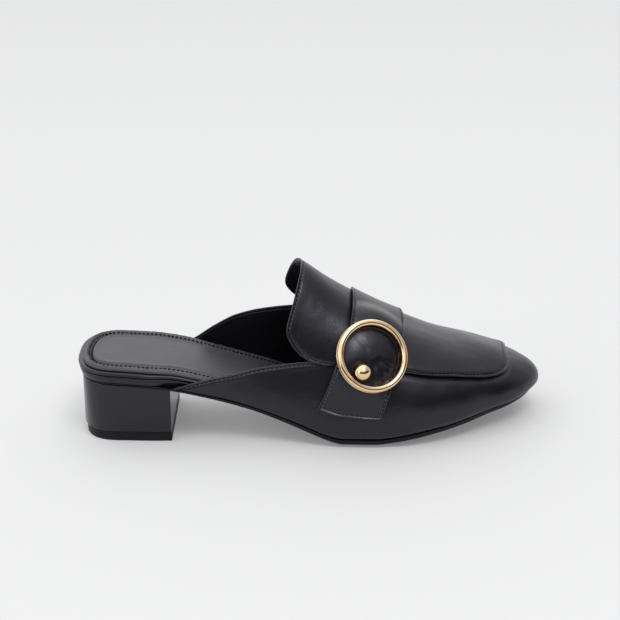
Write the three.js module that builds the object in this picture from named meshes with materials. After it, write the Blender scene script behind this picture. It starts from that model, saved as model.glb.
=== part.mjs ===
// Mule in the loafer style for the right foot: a low block heel, a moccasin apron that runs up into a
// standing tongue, a broad strap across the instep and a ring buckle with a ball stud on its outer side.
// Millimetres. +X points to the toe, +Y to the inner side of the foot, +Z up. The floor is z = 0.
import * as THREE from "three";
import { mergeVertices } from "three/addons/utils/BufferGeometryUtils.js";

// Driving sizes of the last
const shoeLength = 250;
const ballWidth = 80;
const seatWidth = 59;
const heelHeight = 33.9;
const toeSpring = 11.5;
const instepHeight = 90;
const boxHeight = 20;
const leanHeight = 30;

// Walls and layers
const gap = 0.3;
const upperWall = 1.8;
const apronThickness = 1.3;
const strapThickness = 1.6;
const treadThickness = 1.7;
const treadInset = 4;
const soleThickness = 2.4;
const seatSoleThickness = 0.9;
const soleMargin = 0.3;
const soleChamfer = 0.3;
const midsoleThickness = 1.2;
const seatMidsoleThickness = 3.9;
const boardThickness = 1.5;
const seatBoardThickness = 2;
const sockThickness = 1.3;
const sockInset = 2.6;

// Heel
const heelBreast = 0.208 * shoeLength;
const heelInset = 2;
const liftThickness = 5.6;
const liftInset = 1.1;

// Tread of the forepart
const treadStart = 0.52 * shoeLength;
const treadEnd = 0.944 * shoeLength;

// Buckle: its place on the strap, the ring, the ball stud and the padding under them
const buckleDown = -0.588;
const buckleLean = THREE.MathUtils.degToRad(8);
const buckleDrop = THREE.MathUtils.degToRad(-2);
const buckleAcross = 0.48;
const ringSeat = 2.2;
const ringRadius = 17.5;
const ringWidth = 3.4;
const ringHeight = 4.2;
const ringGroove = 0.5;
const ringChamfer = 0.3;
const flangeHeight = 1.4;
const ballRadius = 4.35;
const ballRise = 4.3;
const ballFoot = 1;
const ballTurn = THREE.MathUtils.degToRad(106);
const postRadius = 2.2;
const padRise = 1.6;
const padStart = 4;
const padFade = 14;
const seamStep = 0.1;

// The toe and the seat are fanned out from these points of the centre line.
const toePole = 0.8 * shoeLength;
const heelPole = 0.11 * shoeLength;
const seatBack = 0.007 * shoeLength;
const seatRoundness = 2.75;
const footTuck = THREE.MathUtils.degToRad(62);
const seatEnd = 0.2;
const waist = 0.5;
const ballStart = 0.62;

// Plan outline of the upper where it meets the sole, from the outer side of the seat round the toe to
// the inner side. at is a share of shoeLength, across a share of the width, which is seatWidth at the
// seat and ballWidth from half the length on.
const plan = [
  { at: 0.11, across: -0.488 },
  { at: 0.17, across: -0.498 },
  { at: 0.23, across: -0.487 },
  { at: 0.3, across: -0.439 },
  { at: 0.38, across: -0.394 },
  { at: 0.45, across: -0.388 },
  { at: 0.52, across: -0.412 },
  { at: 0.59, across: -0.428 },
  { at: 0.66, across: -0.429 },
  { at: 0.72, across: -0.411 },
  { at: 0.78, across: -0.354 },
  { at: 0.832, across: -0.275 },
  { at: 0.88, across: -0.175 },
  { at: 0.925, across: -0.088 },
  { at: 0.961, across: 0.02 },
  { at: 0.983, across: 0.135 },
  { at: 0.987, across: 0.236 },
  { at: 0.978, across: 0.328 },
  { at: 0.956, across: 0.418 },
  { at: 0.918, across: 0.488 },
  { at: 0.866, across: 0.535 },
  { at: 0.8, across: 0.56 },
  { at: 0.73, across: 0.568 },
  { at: 0.65, across: 0.552 },
  { at: 0.58, across: 0.508 },
  { at: 0.51, across: 0.449 },
  { at: 0.44, across: 0.405 },
  { at: 0.37, across: 0.405 },
  { at: 0.3, across: 0.438 },
  { at: 0.23, across: 0.487 },
  { at: 0.17, across: 0.498 },
  { at: 0.11, across: 0.488 },
];
const tipRow = 16;

// Side profile of the sole's underside: rise is a share of heelHeight, spring a share of toeSpring. It is
// flat where both are zero, under the ball.
const sideProfile = [
  { at: 0, rise: 1, spring: 0 },
  { at: 0.1, rise: 0.969, spring: 0 },
  { at: 0.2, rise: 0.906, spring: 0 },
  { at: 0.3, rise: 0.727, spring: 0 },
  { at: 0.376, rise: 0.552, spring: 0 },
  { at: 0.42, rise: 0.43, spring: 0 },
  { at: 0.46, rise: 0.307, spring: 0 },
  { at: 0.5, rise: 0.18, spring: 0 },
  { at: 0.545, rise: 0.042, spring: 0 },
  { at: 0.568, rise: 0, spring: 0 },
  { at: 0.64, rise: 0, spring: 0 },
  { at: 0.68, rise: 0, spring: 0.093 },
  { at: 0.72, rise: 0, spring: 0.222 },
  { at: 0.76, rise: 0, spring: 0.352 },
  { at: 0.8, rise: 0, spring: 0.471 },
  { at: 0.89, rise: 0, spring: 0.724 },
  { at: 1, rise: 0, spring: 1 },
];

// Crest of the last: height is a share of instepHeight, lean its shift to the inner side as a share of
// ballWidth, full the exponent that squares the section's shoulders.
const crest = [
  { at: 0.3, height: 1.1, lean: 0.045, full: 1.72 },
  { at: 0.42, height: 1.1, lean: 0.045, full: 1.86 },
  { at: 0.48, height: 0.995, lean: 0.05, full: 1.95 },
  { at: 0.544, height: 0.861, lean: 0.06, full: 2.05 },
  { at: 0.588, height: 0.779, lean: 0.065, full: 2.1 },
  { at: 0.632, height: 0.707, lean: 0.075, full: 2.1 },
  { at: 0.672, height: 0.646, lean: 0.085, full: 2.15 },
  { at: 0.72, height: 0.576, lean: 0.095, full: 2.2 },
  { at: 0.76, height: 0.526, lean: 0.103, full: 2.25 },
  { at: 0.808, height: 0.481, lean: 0.12, full: 2.3 },
  { at: 0.848, height: 0.455, lean: 0.12, full: 2.3 },
  { at: 0.892, height: 0.43, lean: 0.12, full: 2.3 },
  { at: 0.944, height: 0.404, lean: 0.12, full: 2.3 },
  { at: 1, height: 0.37, lean: 0.12, full: 2.3 },
];

// The wall swells past the sole by out, and is widest at the height high, both shares of boxHeight. Over
// the widest line it leans in by the share tilt of its half width.
const wall = [
  { at: 0.2, out: 0.015, high: 0.08, tilt: 0.06 },
  { at: 0.32, out: 0.03, high: 0.15, tilt: 0.1 },
  { at: 0.42, out: 0.055, high: 0.2, tilt: 0.11 },
  { at: 0.52, out: 0.085, high: 0.24, tilt: 0.09 },
  { at: 0.64, out: 0.11, high: 0.27, tilt: 0.025 },
  { at: 0.76, out: 0.13, high: 0.24, tilt: 0 },
  { at: 0.86, out: 0.16, high: 0.2, tilt: 0 },
  { at: 0.94, out: 0.2, high: 0.17, tilt: 0 },
  { at: 1, out: 0.25, high: 0.15, tilt: 0 },
];

// Height of the topline above the floor, a share of instepHeight.
const topline = [
  { at: 0.216, outer: 0.352, inner: 0.352 },
  { at: 0.252, outer: 0.385, inner: 0.42 },
  { at: 0.292, outer: 0.412, inner: 0.506 },
  { at: 0.34, outer: 0.437, inner: 0.584 },
  { at: 0.39, outer: 0.471, inner: 0.62 },
  { at: 0.44, outer: 0.494, inner: 0.633 },
  { at: 0.5, outer: 0.516, inner: 0.637 },
  { at: 0.54, outer: 0.528, inner: 0.637 },
];
const quarterFade = 0.16;
const quarterStart = 0.216 * shoeLength;
const throatStart = 0.54 * shoeLength;
const throatEnd = 0.61 * shoeLength;

// Edge of the apron, as a share of the way from the crest to the widest line in plan: beside the
// centre line, and round the toe by degrees from the outer to the inner side.
const sideSeam = [
  { at: 0.46, outer: 0.8, inner: 0.72 },
  { at: 0.5, outer: 0.812, inner: 0.722 },
  { at: 0.53, outer: 0.81, inner: 0.727 },
  { at: 0.61, outer: 0.797, inner: 0.755 },
  { at: 0.7, outer: 0.787, inner: 0.767 },
  { at: 0.8, outer: 0.785, inner: 0.775 },
];
const toeSeam = [
  { turn: -90, reach: 0.782 },
  { turn: -66, reach: 0.815 },
  { turn: -52, reach: 0.838 },
  { turn: -39, reach: 0.845 },
  { turn: -30, reach: 0.83 },
  { turn: -21, reach: 0.795 },
  { turn: -12, reach: 0.715 },
  { turn: 0, reach: 0.625 },
  { turn: 10, reach: 0.612 },
  { turn: 22, reach: 0.665 },
  { turn: 37, reach: 0.775 },
  { turn: 52, reach: 0.815 },
  { turn: 70, reach: 0.8 },
  { turn: 90, reach: 0.775 },
];

// Rear edge of the tongue: how far it sweeps back from the crest down to its lower edge, as a share of
// tongueSweep. Its lower corners are rounded over tongueCorner along and cornerShare down.
const tongueTop = 120.6;
const tongueSweep = 10.8;
const tongueCorner = 18;
const cornerShare = 0.17;
const tongueRear = [
  { down: 0, outer: 0, inner: 0 },
  { down: 0.2, outer: 0.03, inner: 0.12 },
  { down: 0.45, outer: 0.2, inner: 0.39 },
  { down: 0.65, outer: 0.42, inner: 0.62 },
  { down: 0.8, outer: 0.64, inner: 0.8 },
  { down: 1, outer: 1, inner: 1 },
];

// Edges of the strap from the crest down to its ends just under the widest line, shares of shoeLength
const strapDrop = 0.92;
const strap = [
  { down: 0, rear: 0.592, front: 0.704 },
  { down: 0.21, rear: 0.59, front: 0.701 },
  { down: 0.48, rear: 0.582, front: 0.689 },
  { down: 0.74, rear: 0.554, front: 0.674 },
  { down: 0.9, rear: 0.531, front: 0.66 },
  { down: 1, rear: 0.514, front: 0.651 },
];

// Smooth curve through one column of a table that never overshoots its rows.
function column(table, key, by = "at") {
  const last = table.length - 1;
  const chord = (k) => (table[k + 1][key] - table[k][key]) / (table[k + 1][by] - table[k][by]);
  const slope = (k) => {
    if (k === 0) return chord(0);
    if (k === last) return chord(last - 1);
    const before = chord(k - 1);
    const after = chord(k);
    return before * after <= 0 ? 0 : (2 * before * after) / (before + after);
  };
  return (at) => {
    if (at <= table[0][by]) return table[0][key];
    if (at >= table[last][by]) return table[last][key];
    const k = table.findIndex((row) => row[by] > at) - 1;
    const span = table[k + 1][by] - table[k][by];
    const t = (at - table[k][by]) / span;
    const fade = t * t * (3 - 2 * t);
    const ease = span * t * (1 - t);
    return (
      table[k][key] +
      (table[k + 1][key] - table[k][key]) * fade +
      ease * ((1 - t) * slope(k) - t * slope(k + 1))
    );
  };
}

const share = (curve) => (x) => curve(x / shoeLength);
const bySide = (table, by) => ({ "-1": column(table, "outer", by), 1: column(table, "inner", by) });
const riseAt = share(column(sideProfile, "rise"));
const springAt = share(column(sideProfile, "spring"));
const heightAt = share(column(crest, "height"));
const leanAt = share(column(crest, "lean"));
const fullAt = share(column(crest, "full"));
const swellAt = share(column(wall, "out"));
const highAt = share(column(wall, "high"));
const tiltAt = share(column(wall, "tilt"));
const blend = (x, from, to) => THREE.MathUtils.smoothstep(x / shoeLength, from, to);
const coveredAt = (x) => blend(x, quarterFade, quarterStart / shoeLength);

// Levels of the stack under the foot
const soleBottom = (x) =>
  treadThickness + gap + riseAt(x) * (heelHeight - treadThickness - gap) + springAt(x) * toeSpring;
const layer = (seat, forepart) => (x) => THREE.MathUtils.lerp(seat, forepart, blend(x, seatEnd, ballStart));
const soleLayer = layer(seatSoleThickness, soleThickness);
const midsoleLayer = layer(seatMidsoleThickness, midsoleThickness);
const boardLayer = layer(seatBoardThickness, boardThickness);
const soleTop = (x) => soleBottom(x) + soleLayer(x);
const midsoleBottom = (x) => soleTop(x) + gap;
const midsoleTop = (x) => midsoleBottom(x) + midsoleLayer(x);
const boardBottom = (x) => midsoleTop(x) + gap;
const boardTop = (x) => boardBottom(x) + boardLayer(x);
const sockBottom = (x) => boardTop(x) + gap;

// Plan outline
const widthAt = (x) => THREE.MathUtils.lerp(seatWidth, ballWidth, blend(x, seatEnd, waist));
const planPoints = plan.map((row) => {
  const x = row.at * shoeLength;
  return new THREE.Vector3(x, row.across * widthAt(x), 0);
});
const outline = new THREE.CatmullRomCurve3(planPoints, false, "catmullrom", 0.5);
const tipShare = tipRow / (plan.length - 1);
const spineAt = (x) => leanAt(x) * ballWidth * blend(x, heelPole / shoeLength, waist);

// Halves an interval of the outline until test changes sign.
function findOnOutline(from, to, test) {
  let low = from;
  let high = to;
  for (let step = 0; step < 40; step += 1) {
    const middle = (low + high) / 2;
    if (test(outline.getPoint(middle))) low = middle;
    else high = middle;
  }
  return outline.getPoint(low);
}

// A station is one upright section of the last. It runs from its foot on the outline to its apex on
// the centre line.
function makeStation(foot, apex) {
  const out = foot.clone().sub(apex).setZ(0).normalize();
  const wide = foot.clone().addScaledVector(out, swellAt(foot.x) * boxHeight);
  const featherZ = soleTop(foot.x) + gap;
  const wideZ = featherZ + highAt(foot.x) * boxHeight;
  return { foot, apex, out, wide, featherZ, wideZ, power: 2 / fullAt(apex.x), tilt: tiltAt(foot.x) };
}

// Stations beside the centre line: side is -1 on the outer and 1 on the inner side.
function sideStation(x, side) {
  const foot =
    side < 0
      ? findOnOutline(0, tipShare, (point) => point.x < x)
      : findOnOutline(tipShare, 1, (point) => point.x > x);
  foot.x = x;
  return makeStation(foot, new THREE.Vector3(x, spineAt(x), 0));
}

// Stations round the toe: turn runs from -90 on the outer to 90 on the inner side.
function toeStation(turn) {
  const apex = new THREE.Vector3(toePole, spineAt(toePole), 0);
  const aim = THREE.MathUtils.degToRad(turn);
  const before = (point) => Math.atan2(point.y - apex.y, point.x - apex.x) < aim;
  return makeStation(findOnOutline(0.2, 0.8, before), apex);
}

// Stations round the seat: turn runs from 90 on the inner to -90 on the outer side.
function seatStation(turn) {
  const half = sideStation(heelPole, Math.sign(turn) || 1).foot.y;
  const aim = THREE.MathUtils.degToRad(Math.abs(turn));
  const along = Math.cos(aim) ** (2 / seatRoundness);
  const across = Math.sin(aim) ** (2 / seatRoundness);
  const foot = new THREE.Vector3(heelPole - (heelPole - seatBack) * along, half * across, 0);
  return makeStation(foot, new THREE.Vector3(heelPole, 0, 0));
}

// Height of the crest for a skin that lies depth under the last's surface.
function crestHeight(x, depth) {
  const slope = (heightAt(x + 1) - heightAt(x - 1)) * instepHeight * 0.5;
  return heightAt(x) * instepHeight - depth * Math.hypot(1, slope);
}

// Share of its half width that a section keeps at a rise over the widest line.
const leanedIn = (station, rise) => 1 - station.tilt * THREE.MathUtils.smoothstep(rise, 0, leanHeight);

// Point of the last. climb is -1 at the sole, 0 at the widest line and 1 at the apex; depth is measured
// inwards.
function lastPoint(station, climb, depth) {
  const { foot, apex, out, wide, featherZ, wideZ, power } = station;
  if (climb >= 1) return new THREE.Vector3(apex.x, apex.y, crestHeight(apex.x, depth));
  if (climb < 0) {
    const tuck = -climb * footTuck;
    const reach = (Math.cos(tuck) - Math.cos(footTuck)) / (1 - Math.cos(footTuck));
    const point = foot.clone().lerp(wide, reach).addScaledVector(out, -depth);
    point.z = wideZ - ((wideZ - featherZ) * Math.sin(tuck)) / Math.sin(footTuck);
    return point;
  }
  const lean = ((1 - climb) * Math.PI) / 2;
  const rim = wide.clone().addScaledVector(out, -depth);
  const point = apex.clone().lerp(rim, Math.sin(lean) ** power);
  const rise = (crestHeight(point.x, depth) - wideZ) * Math.cos(lean) ** power;
  point.lerpVectors(apex, point, leanedIn(station, rise)).setZ(wideZ + rise);
  return point;
}

// Climb of the last at a given height on a side station.
function climbAtHeight(station, z) {
  const { apex, featherZ, wideZ, power } = station;
  if (z <= wideZ) {
    const sine = ((wideZ - z) / (wideZ - featherZ)) * Math.sin(footTuck);
    return -Math.asin(Math.min(sine, Math.sin(footTuck))) / footTuck;
  }
  const rise = (z - wideZ) / (crestHeight(apex.x, 0) - wideZ);
  return 1 - Math.acos(Math.min(rise, 1) ** (1 / power)) / (Math.PI / 2);
}

// Climb of the last at a share of the way from the apex to the widest line.
function climbAtReach(station, reach) {
  const height = crestHeight(station.apex.x, 0) - station.wideZ;
  let low = 0;
  let high = 1;
  for (let step = 0; step < 40; step += 1) {
    const middle = (low + high) / 2;
    const lean = ((1 - middle) * Math.PI) / 2;
    const rise = height * Math.cos(lean) ** station.power;
    if (Math.sin(lean) ** station.power * leanedIn(station, rise) > reach) low = middle;
    else high = middle;
  }
  return low;
}

// Mesh from a list of triangles, welded and without collapsed faces.
function makeMesh(name, material, corners) {
  const positions = corners.flatMap((corner) => [corner.x, corner.y, corner.z]);
  const loose = new THREE.BufferGeometry();
  loose.setAttribute("position", new THREE.Float32BufferAttribute(positions, 3));
  const geometry = mergeVertices(loose, 1e-4);
  const index = Array.from(geometry.index.array);
  const kept = [];
  for (let k = 0; k < index.length; k += 3) {
    const [a, b, c] = index.slice(k, k + 3);
    if (a !== b && b !== c && c !== a) kept.push(a, b, c);
  }
  geometry.setIndex(kept);
  geometry.computeVertexNormals();
  const mesh = new THREE.Mesh(geometry, material);
  mesh.name = name;
  return mesh;
}

const quad = (a, b, c, d) => [a, b, c, a, c, d];

// Solid between an outer and an inner skin, both grids of stations and steps. joined tells between
// which stations the last step is shared with the other side, so that no rim is needed there.
function shellCorners(outer, inner, joined) {
  const corners = [];
  const lastStep = outer[0].length - 1;
  const lastStation = outer.length - 1;
  for (let i = 0; i < lastStation; i += 1) {
    for (let j = 0; j < lastStep; j += 1) {
      corners.push(...quad(outer[i][j], outer[i + 1][j], outer[i + 1][j + 1], outer[i][j + 1]));
      corners.push(...quad(inner[i][j], inner[i][j + 1], inner[i + 1][j + 1], inner[i + 1][j]));
    }
    corners.push(...quad(outer[i][0], inner[i][0], inner[i + 1][0], outer[i + 1][0]));
    if (!joined(i)) {
      const [a, b] = [outer[i][lastStep], outer[i + 1][lastStep]];
      corners.push(...quad(a, b, inner[i + 1][lastStep], inner[i][lastStep]));
    }
  }
  for (let j = 0; j < lastStep; j += 1) {
    const end = lastStation;
    corners.push(...quad(outer[0][j], outer[0][j + 1], inner[0][j + 1], inner[0][j]));
    corners.push(...quad(outer[end][j], inner[end][j], inner[end][j + 1], outer[end][j + 1]));
  }
  return corners;
}

// Solid whose sections go from the centre line over the top, round the edge and back underneath, for a
// closed ring of stations.
function plateCorners(sections) {
  const corners = [];
  sections.forEach((section, i) => {
    const next = sections[(i + 1) % sections.length];
    for (let j = 0; j < section.length - 1; j += 1) {
      corners.push(...quad(section[j], section[j + 1], next[j + 1], next[j]));
    }
  });
  return corners;
}

// Evenly spread values
const spread = (from, to, steps) =>
  Array.from({ length: steps + 1 }, (_, k) => THREE.MathUtils.lerp(from, to, k / steps));

const sideSpacing = 8.6;
const toeTurns = spread(-90, 90, 16).slice(1, -1);
const seatTurns = spread(90, -90, 10).slice(1, -1);

function sidePlaces(from, to) {
  return spread(from, to, Math.max(2, Math.round((to - from) / sideSpacing)));
}

const footPlaces = sidePlaces(heelPole, toePole);

// Ring of stations from the outer side round the toe to the inner side, and round the seat.
function ringOfStations() {
  return [
    ...footPlaces.map((x) => sideStation(x, -1)),
    ...toeTurns.map(toeStation),
    ...footPlaces.toReversed().map((x) => sideStation(x, 1)),
    ...seatTurns.map(seatStation),
  ];
}

// One point of a plate: inset from the outline, or a share of the way to the centre line.
function platePoint(station, inset, toCentre, levelAt, lift) {
  const point = station.foot.clone().addScaledVector(station.out, -inset);
  point.lerp(station.apex, toCentre);
  point.z = levelAt(point.x) + lift;
  return point;
}

// Section of a plate with an edge profile. Each row of the edge has an inset, and a lift from the top
// or the bottom face.
function plateSection(station, insetAt, topAt, bottomAt, edge) {
  const inset = insetAt(station);
  const level = { top: topAt, bottom: bottomAt };
  const rows = edge.map((row) =>
    platePoint(station, inset + row.inset, 0, level[row.face], row.lift),
  );
  const inside = inset + edge[0].inset;
  return [
    platePoint(station, inside, 1, topAt, 0),
    platePoint(station, inside, 0.5, topAt, 0),
    ...rows,
    platePoint(station, inside, 0.5, bottomAt, 0),
    platePoint(station, inside, 1, bottomAt, 0),
  ];
}

const leather = new THREE.MeshStandardMaterial({ color: 0x1c1c20, roughness: 0.42, metalness: 0 });
const lining = new THREE.MeshStandardMaterial({ color: 0x17171a, roughness: 0.6, metalness: 0 });
const rubber = new THREE.MeshStandardMaterial({ color: 0x141416, roughness: 0.7, metalness: 0 });
const gold = new THREE.MeshStandardMaterial({ color: 0xe9c88b, roughness: 0.18, metalness: 1 });

const fullRing = ringOfStations();
const insideUpper = upperWall + gap;
const tuckIn = (x) => insideUpper * coveredAt(x);

// Outsole, full length, thin under the seat
function makeOutsole() {
  const edge = [
    { face: "top", inset: soleChamfer, lift: 0 },
    { face: "top", inset: 0, lift: -soleChamfer },
    { face: "bottom", inset: 0, lift: soleChamfer },
    { face: "bottom", inset: soleChamfer, lift: 0 },
  ];
  const inset = (station) => THREE.MathUtils.lerp(heelInset, -soleMargin, coveredAt(station.foot.x));
  const sections = fullRing.map((s) => plateSection(s, inset, soleTop, soleBottom, edge));
  return makeMesh("outsole", rubber, plateCorners(sections));
}

// Wrapped midsole that shows as a band round the seat
function makeMidsole() {
  const edge = [
    { face: "top", inset: 0.9, lift: 0 },
    { face: "top", inset: 0.4, lift: -0.4 },
    { face: "bottom", inset: 1.2, lift: 0.2 },
    { face: "bottom", inset: 1.6, lift: 0 },
  ];
  const inset = (station) => tuckIn(station.foot.x);
  const sections = fullRing.map((s) => plateSection(s, inset, midsoleTop, midsoleBottom, edge));
  return makeMesh("midsole", leather, plateCorners(sections));
}

// Insole board whose covered edge is a round bead
function makeInsoleBoard() {
  const edge = [
    { face: "top", inset: 1.5, lift: 0 },
    { face: "top", inset: 0.5, lift: -0.2 },
    { face: "top", inset: 0, lift: -0.75 },
    { face: "bottom", inset: 0.1, lift: 0.45 },
    { face: "bottom", inset: 0.8, lift: 0 },
  ];
  const inset = (station) => tuckIn(station.foot.x);
  const sections = fullRing.map((s) => plateSection(s, inset, boardTop, boardBottom, edge));
  return makeMesh("insole_board", leather, plateCorners(sections));
}

// Padded sock on the insole board
function makeSock() {
  const edge = [
    { face: "bottom", inset: 1.8, lift: sockThickness },
    { face: "bottom", inset: 0.5, lift: sockThickness * 0.75 },
    { face: "bottom", inset: 0, lift: sockThickness * 0.25 },
    { face: "bottom", inset: 0.3, lift: 0 },
  ];
  const sockTop = (x) => sockBottom(x) + sockThickness;
  const inset = (station) => sockInset + tuckIn(station.foot.x) * 0.5;
  const sections = fullRing.map((s) => plateSection(s, inset, sockTop, sockBottom, edge));
  return makeMesh("sock", lining, plateCorners(sections));
}

// Ring of stations of the seat, closed by the straight heel breast
function heelStations() {
  const places = sidePlaces(heelPole, heelBreast);
  return [
    ...places.map((x) => sideStation(x, -1)),
    ...places.toReversed().map((x) => sideStation(x, 1)),
    ...seatTurns.map(seatStation),
  ];
}

function makeHeelBlock() {
  const top = (x) => soleBottom(x) - gap;
  const bottom = () => liftThickness + gap;
  const edge = [
    { face: "top", inset: 0.3, lift: 0 },
    { face: "top", inset: 0, lift: -0.5 },
    { face: "bottom", inset: 0, lift: 0.3 },
    { face: "bottom", inset: 0.3, lift: 0 },
  ];
  const sections = heelStations().map((s) => plateSection(s, () => heelInset, top, bottom, edge));
  return makeMesh("heel_block", leather, plateCorners(sections));
}

function makeTopLift() {
  const top = () => liftThickness;
  const bottom = () => 0;
  const edge = [
    { face: "top", inset: 0, lift: 0 },
    { face: "bottom", inset: 0, lift: 0.6 },
    { face: "bottom", inset: 0.6, lift: 0 },
  ];
  const inset = () => heelInset + liftInset;
  const sections = heelStations().map((s) => plateSection(s, inset, top, bottom, edge));
  return makeMesh("top_lift", rubber, plateCorners(sections));
}

// Rubber tread under the forepart, with a flat spot under the ball
function makeTread() {
  const places = footPlaces.filter((x) => x > treadStart);
  const stations = [
    ...places.map((x) => sideStation(x, -1)),
    ...toeTurns.map(toeStation),
    ...places.toReversed().map((x) => sideStation(x, 1)),
  ];
  const top = (x) => soleBottom(x) - gap;
  const bottom = (x) => soleBottom(x) - gap - treadThickness;
  const edge = [
    { face: "top", inset: 0, lift: 0 },
    { face: "bottom", inset: 0, lift: 0.4 },
    { face: "bottom", inset: 0.8, lift: 0 },
  ];
  const toeInset = plan[tipRow].at * shoeLength - treadEnd - treadInset;
  const inset = (station) => treadInset + toeInset * station.out.x ** 2;
  const sections = stations.map((s) => plateSection(s, inset, top, bottom, edge));
  return makeMesh("tread", rubber, plateCorners(sections));
}

// Climb at which the upper ends: at the topline, then rising under the tongue to the throat.
const toplineAt = bySide(topline);
function upperTop(station, side) {
  const x = station.foot.x;
  const z = toplineAt[side](Math.min(x, throatStart) / shoeLength) * instepHeight;
  const climb = climbAtHeight(station, z);
  const rise = THREE.MathUtils.clamp((x - throatStart) / (throatEnd - throatStart), 0, 1);
  return THREE.MathUtils.lerp(climb, 1, rise);
}

// Upper: the quarters and the vamp in one hollow wall, open underneath and behind
function makeUpper() {
  const places = [
    ...spread(quarterStart, throatStart, 10).slice(0, -1),
    ...spread(throatStart, throatEnd, 4).slice(0, -1),
    ...sidePlaces(throatEnd, toePole),
  ];
  const stations = [
    ...places.map((x) => ({ section: sideStation(x, -1), side: -1 })),
    ...toeTurns.map((turn) => ({ section: toeStation(turn), side: 0 })),
    ...places.toReversed().map((x) => ({ section: sideStation(x, 1), side: 1 })),
  ];
  const tops = stations.map(({ section, side }) => (side === 0 ? 1 : upperTop(section, side)));
  const steps = 12;
  const skin = (depth) =>
    stations.map(({ section }, i) =>
      spread(-1, tops[i], steps).map((climb) => lastPoint(section, climb, depth)),
    );
  const joined = (i) => tops[i] >= 1 && tops[i + 1] >= 1;
  return makeMesh("upper", leather, shellCorners(skin(0), skin(upperWall), joined));
}

const sideSeamAt = bySide(sideSeam);
const toeSeamAt = column(toeSeam, "reach", "turn");
const tongueRearAt = bySide(tongueRear, "down");

// Rear edge of the tongue at a share of the way down from the crest
function tongueEdge(side, down) {
  const corner = Math.max(0, down - 1 + cornerShare) / cornerShare;
  const round = tongueCorner * (1 - Math.sqrt(1 - Math.min(corner, 0.995) ** 2));
  return tongueTop - tongueSweep * tongueRearAt[side](down) + round;
}

// Apron of the vamp with the tongue, one piece of leather that lies on the upper
function makeApron() {
  const downs = [...spread(0, 1 - cornerShare, 7), ...spread(1 - cornerShare, 1, 3).slice(1)].toReversed();
  const row = (station, reach, depth) => {
    const lowest = climbAtReach(station, reach);
    return downs.map((down) => lastPoint(station, THREE.MathUtils.lerp(1, lowest, down), depth));
  };
  const tongueRow = (side, along, depth) =>
    downs.map((down) => {
      const x = THREE.MathUtils.lerp(tongueEdge(side, down), throatEnd, along);
      const station = sideStation(x, side);
      const lowest = climbAtReach(station, sideSeamAt[side](x / shoeLength));
      return lastPoint(station, THREE.MathUtils.lerp(1, lowest, down), depth);
    });
  const sideRows = (side, depth) =>
    sidePlaces(throatEnd, toePole)
      .slice(1)
      .map((x) => row(sideStation(x, side), sideSeamAt[side](x / shoeLength), depth));
  const skin = (depth) => [
    ...spread(0, 1, 6).map((along) => tongueRow(-1, along, depth)),
    ...sideRows(-1, depth),
    ...toeTurns.map((turn) => row(toeStation(turn), toeSeamAt(turn), depth)),
    ...sideRows(1, depth).toReversed(),
    ...spread(1, 0, 6).map((along) => tongueRow(1, along, depth)),
  ];
  const corners = shellCorners(skin(-gap - apronThickness), skin(-gap), () => true);
  return makeMesh("apron_tongue", leather, corners);
}

// Place on the strap: down is -1 at its outer end, 0 at the crest and 1 at its inner end; across runs
// from its rear to its front edge, and lift is the height over its underside.
const strapRear = column(strap, "rear", "down");
const strapFront = column(strap, "front", "down");
function strapPoint(down, across, lift) {
  const side = down < 0 ? -1 : 1;
  const drop = Math.abs(down);
  const x = THREE.MathUtils.lerp(strapRear(drop), strapFront(drop), across) * shoeLength;
  const station = sideStation(x, side);
  const climb = 1 - drop * strapDrop;
  const edge = climbAtReach(station, sideSeamAt[side](x / shoeLength));
  const over = THREE.MathUtils.smoothstep(climb, edge - seamStep - 0.01, edge - 0.01);
  return lastPoint(station, climb, -gap - (apronThickness + gap) * over - lift);
}

// Frame of the buckle: its centre on the strap, and the way forward, outward and down from there
function placeBuckle() {
  const onStrap = (down, across) => strapPoint(down, across, strapThickness);
  const forward = onStrap(buckleDown, buckleAcross + 0.2).sub(onStrap(buckleDown, buckleAcross - 0.2));
  const upward = onStrap(buckleDown + 0.08, buckleAcross).sub(onStrap(buckleDown - 0.08, buckleAcross));
  const normal = forward.clone().cross(upward).normalize();
  forward.normalize();
  const centre = onStrap(buckleDown, buckleAcross).addScaledVector(normal, ringSeat);
  const downward = forward.clone().cross(normal);
  const frame = new THREE.Matrix4().makeBasis(forward, normal, downward).setPosition(centre);
  const lean = new THREE.Matrix4().makeRotationZ(-buckleLean);
  return frame.multiply(lean).multiply(new THREE.Matrix4().makeRotationX(buckleDrop));
}
const buckle = placeBuckle();
const buckleInverse = buckle.clone().invert();

// Height that the padding adds, so that the strap swells through the ring and lies up against it
function padding(point) {
  const local = point.clone().applyMatrix4(buckleInverse);
  const radius = Math.hypot(local.x, local.z);
  const inner = ringRadius - ringWidth / 2;
  const outer = ringRadius + ringWidth / 2;
  const dome = padRise * Math.max(0, 1 - (radius / inner) ** 2);
  const wanted = Math.max(0, dome - gap - local.y);
  const beside = 1 - THREE.MathUtils.smoothstep(radius, inner - padStart, outer + padFade);
  return wanted * beside * THREE.MathUtils.smoothstep(local.y, -2 * padFade, -padFade);
}

function makeStrap() {
  const downs = [...spread(-1, 0, 20), ...spread(0, 1, 12).slice(1)];
  const acrosses = spread(1, 0, 6);
  const skin = (pointAt) => downs.map((down) => acrosses.map((across) => pointAt(down, across)));
  const under = skin((down, across) => strapPoint(down, across, 0));
  const over = skin((down, across) => {
    const flat = strapPoint(down, across, strapThickness);
    return strapPoint(down, across, strapThickness + padding(flat));
  });
  return makeMesh("strap", leather, shellCorners(over, under, () => false));
}

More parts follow.
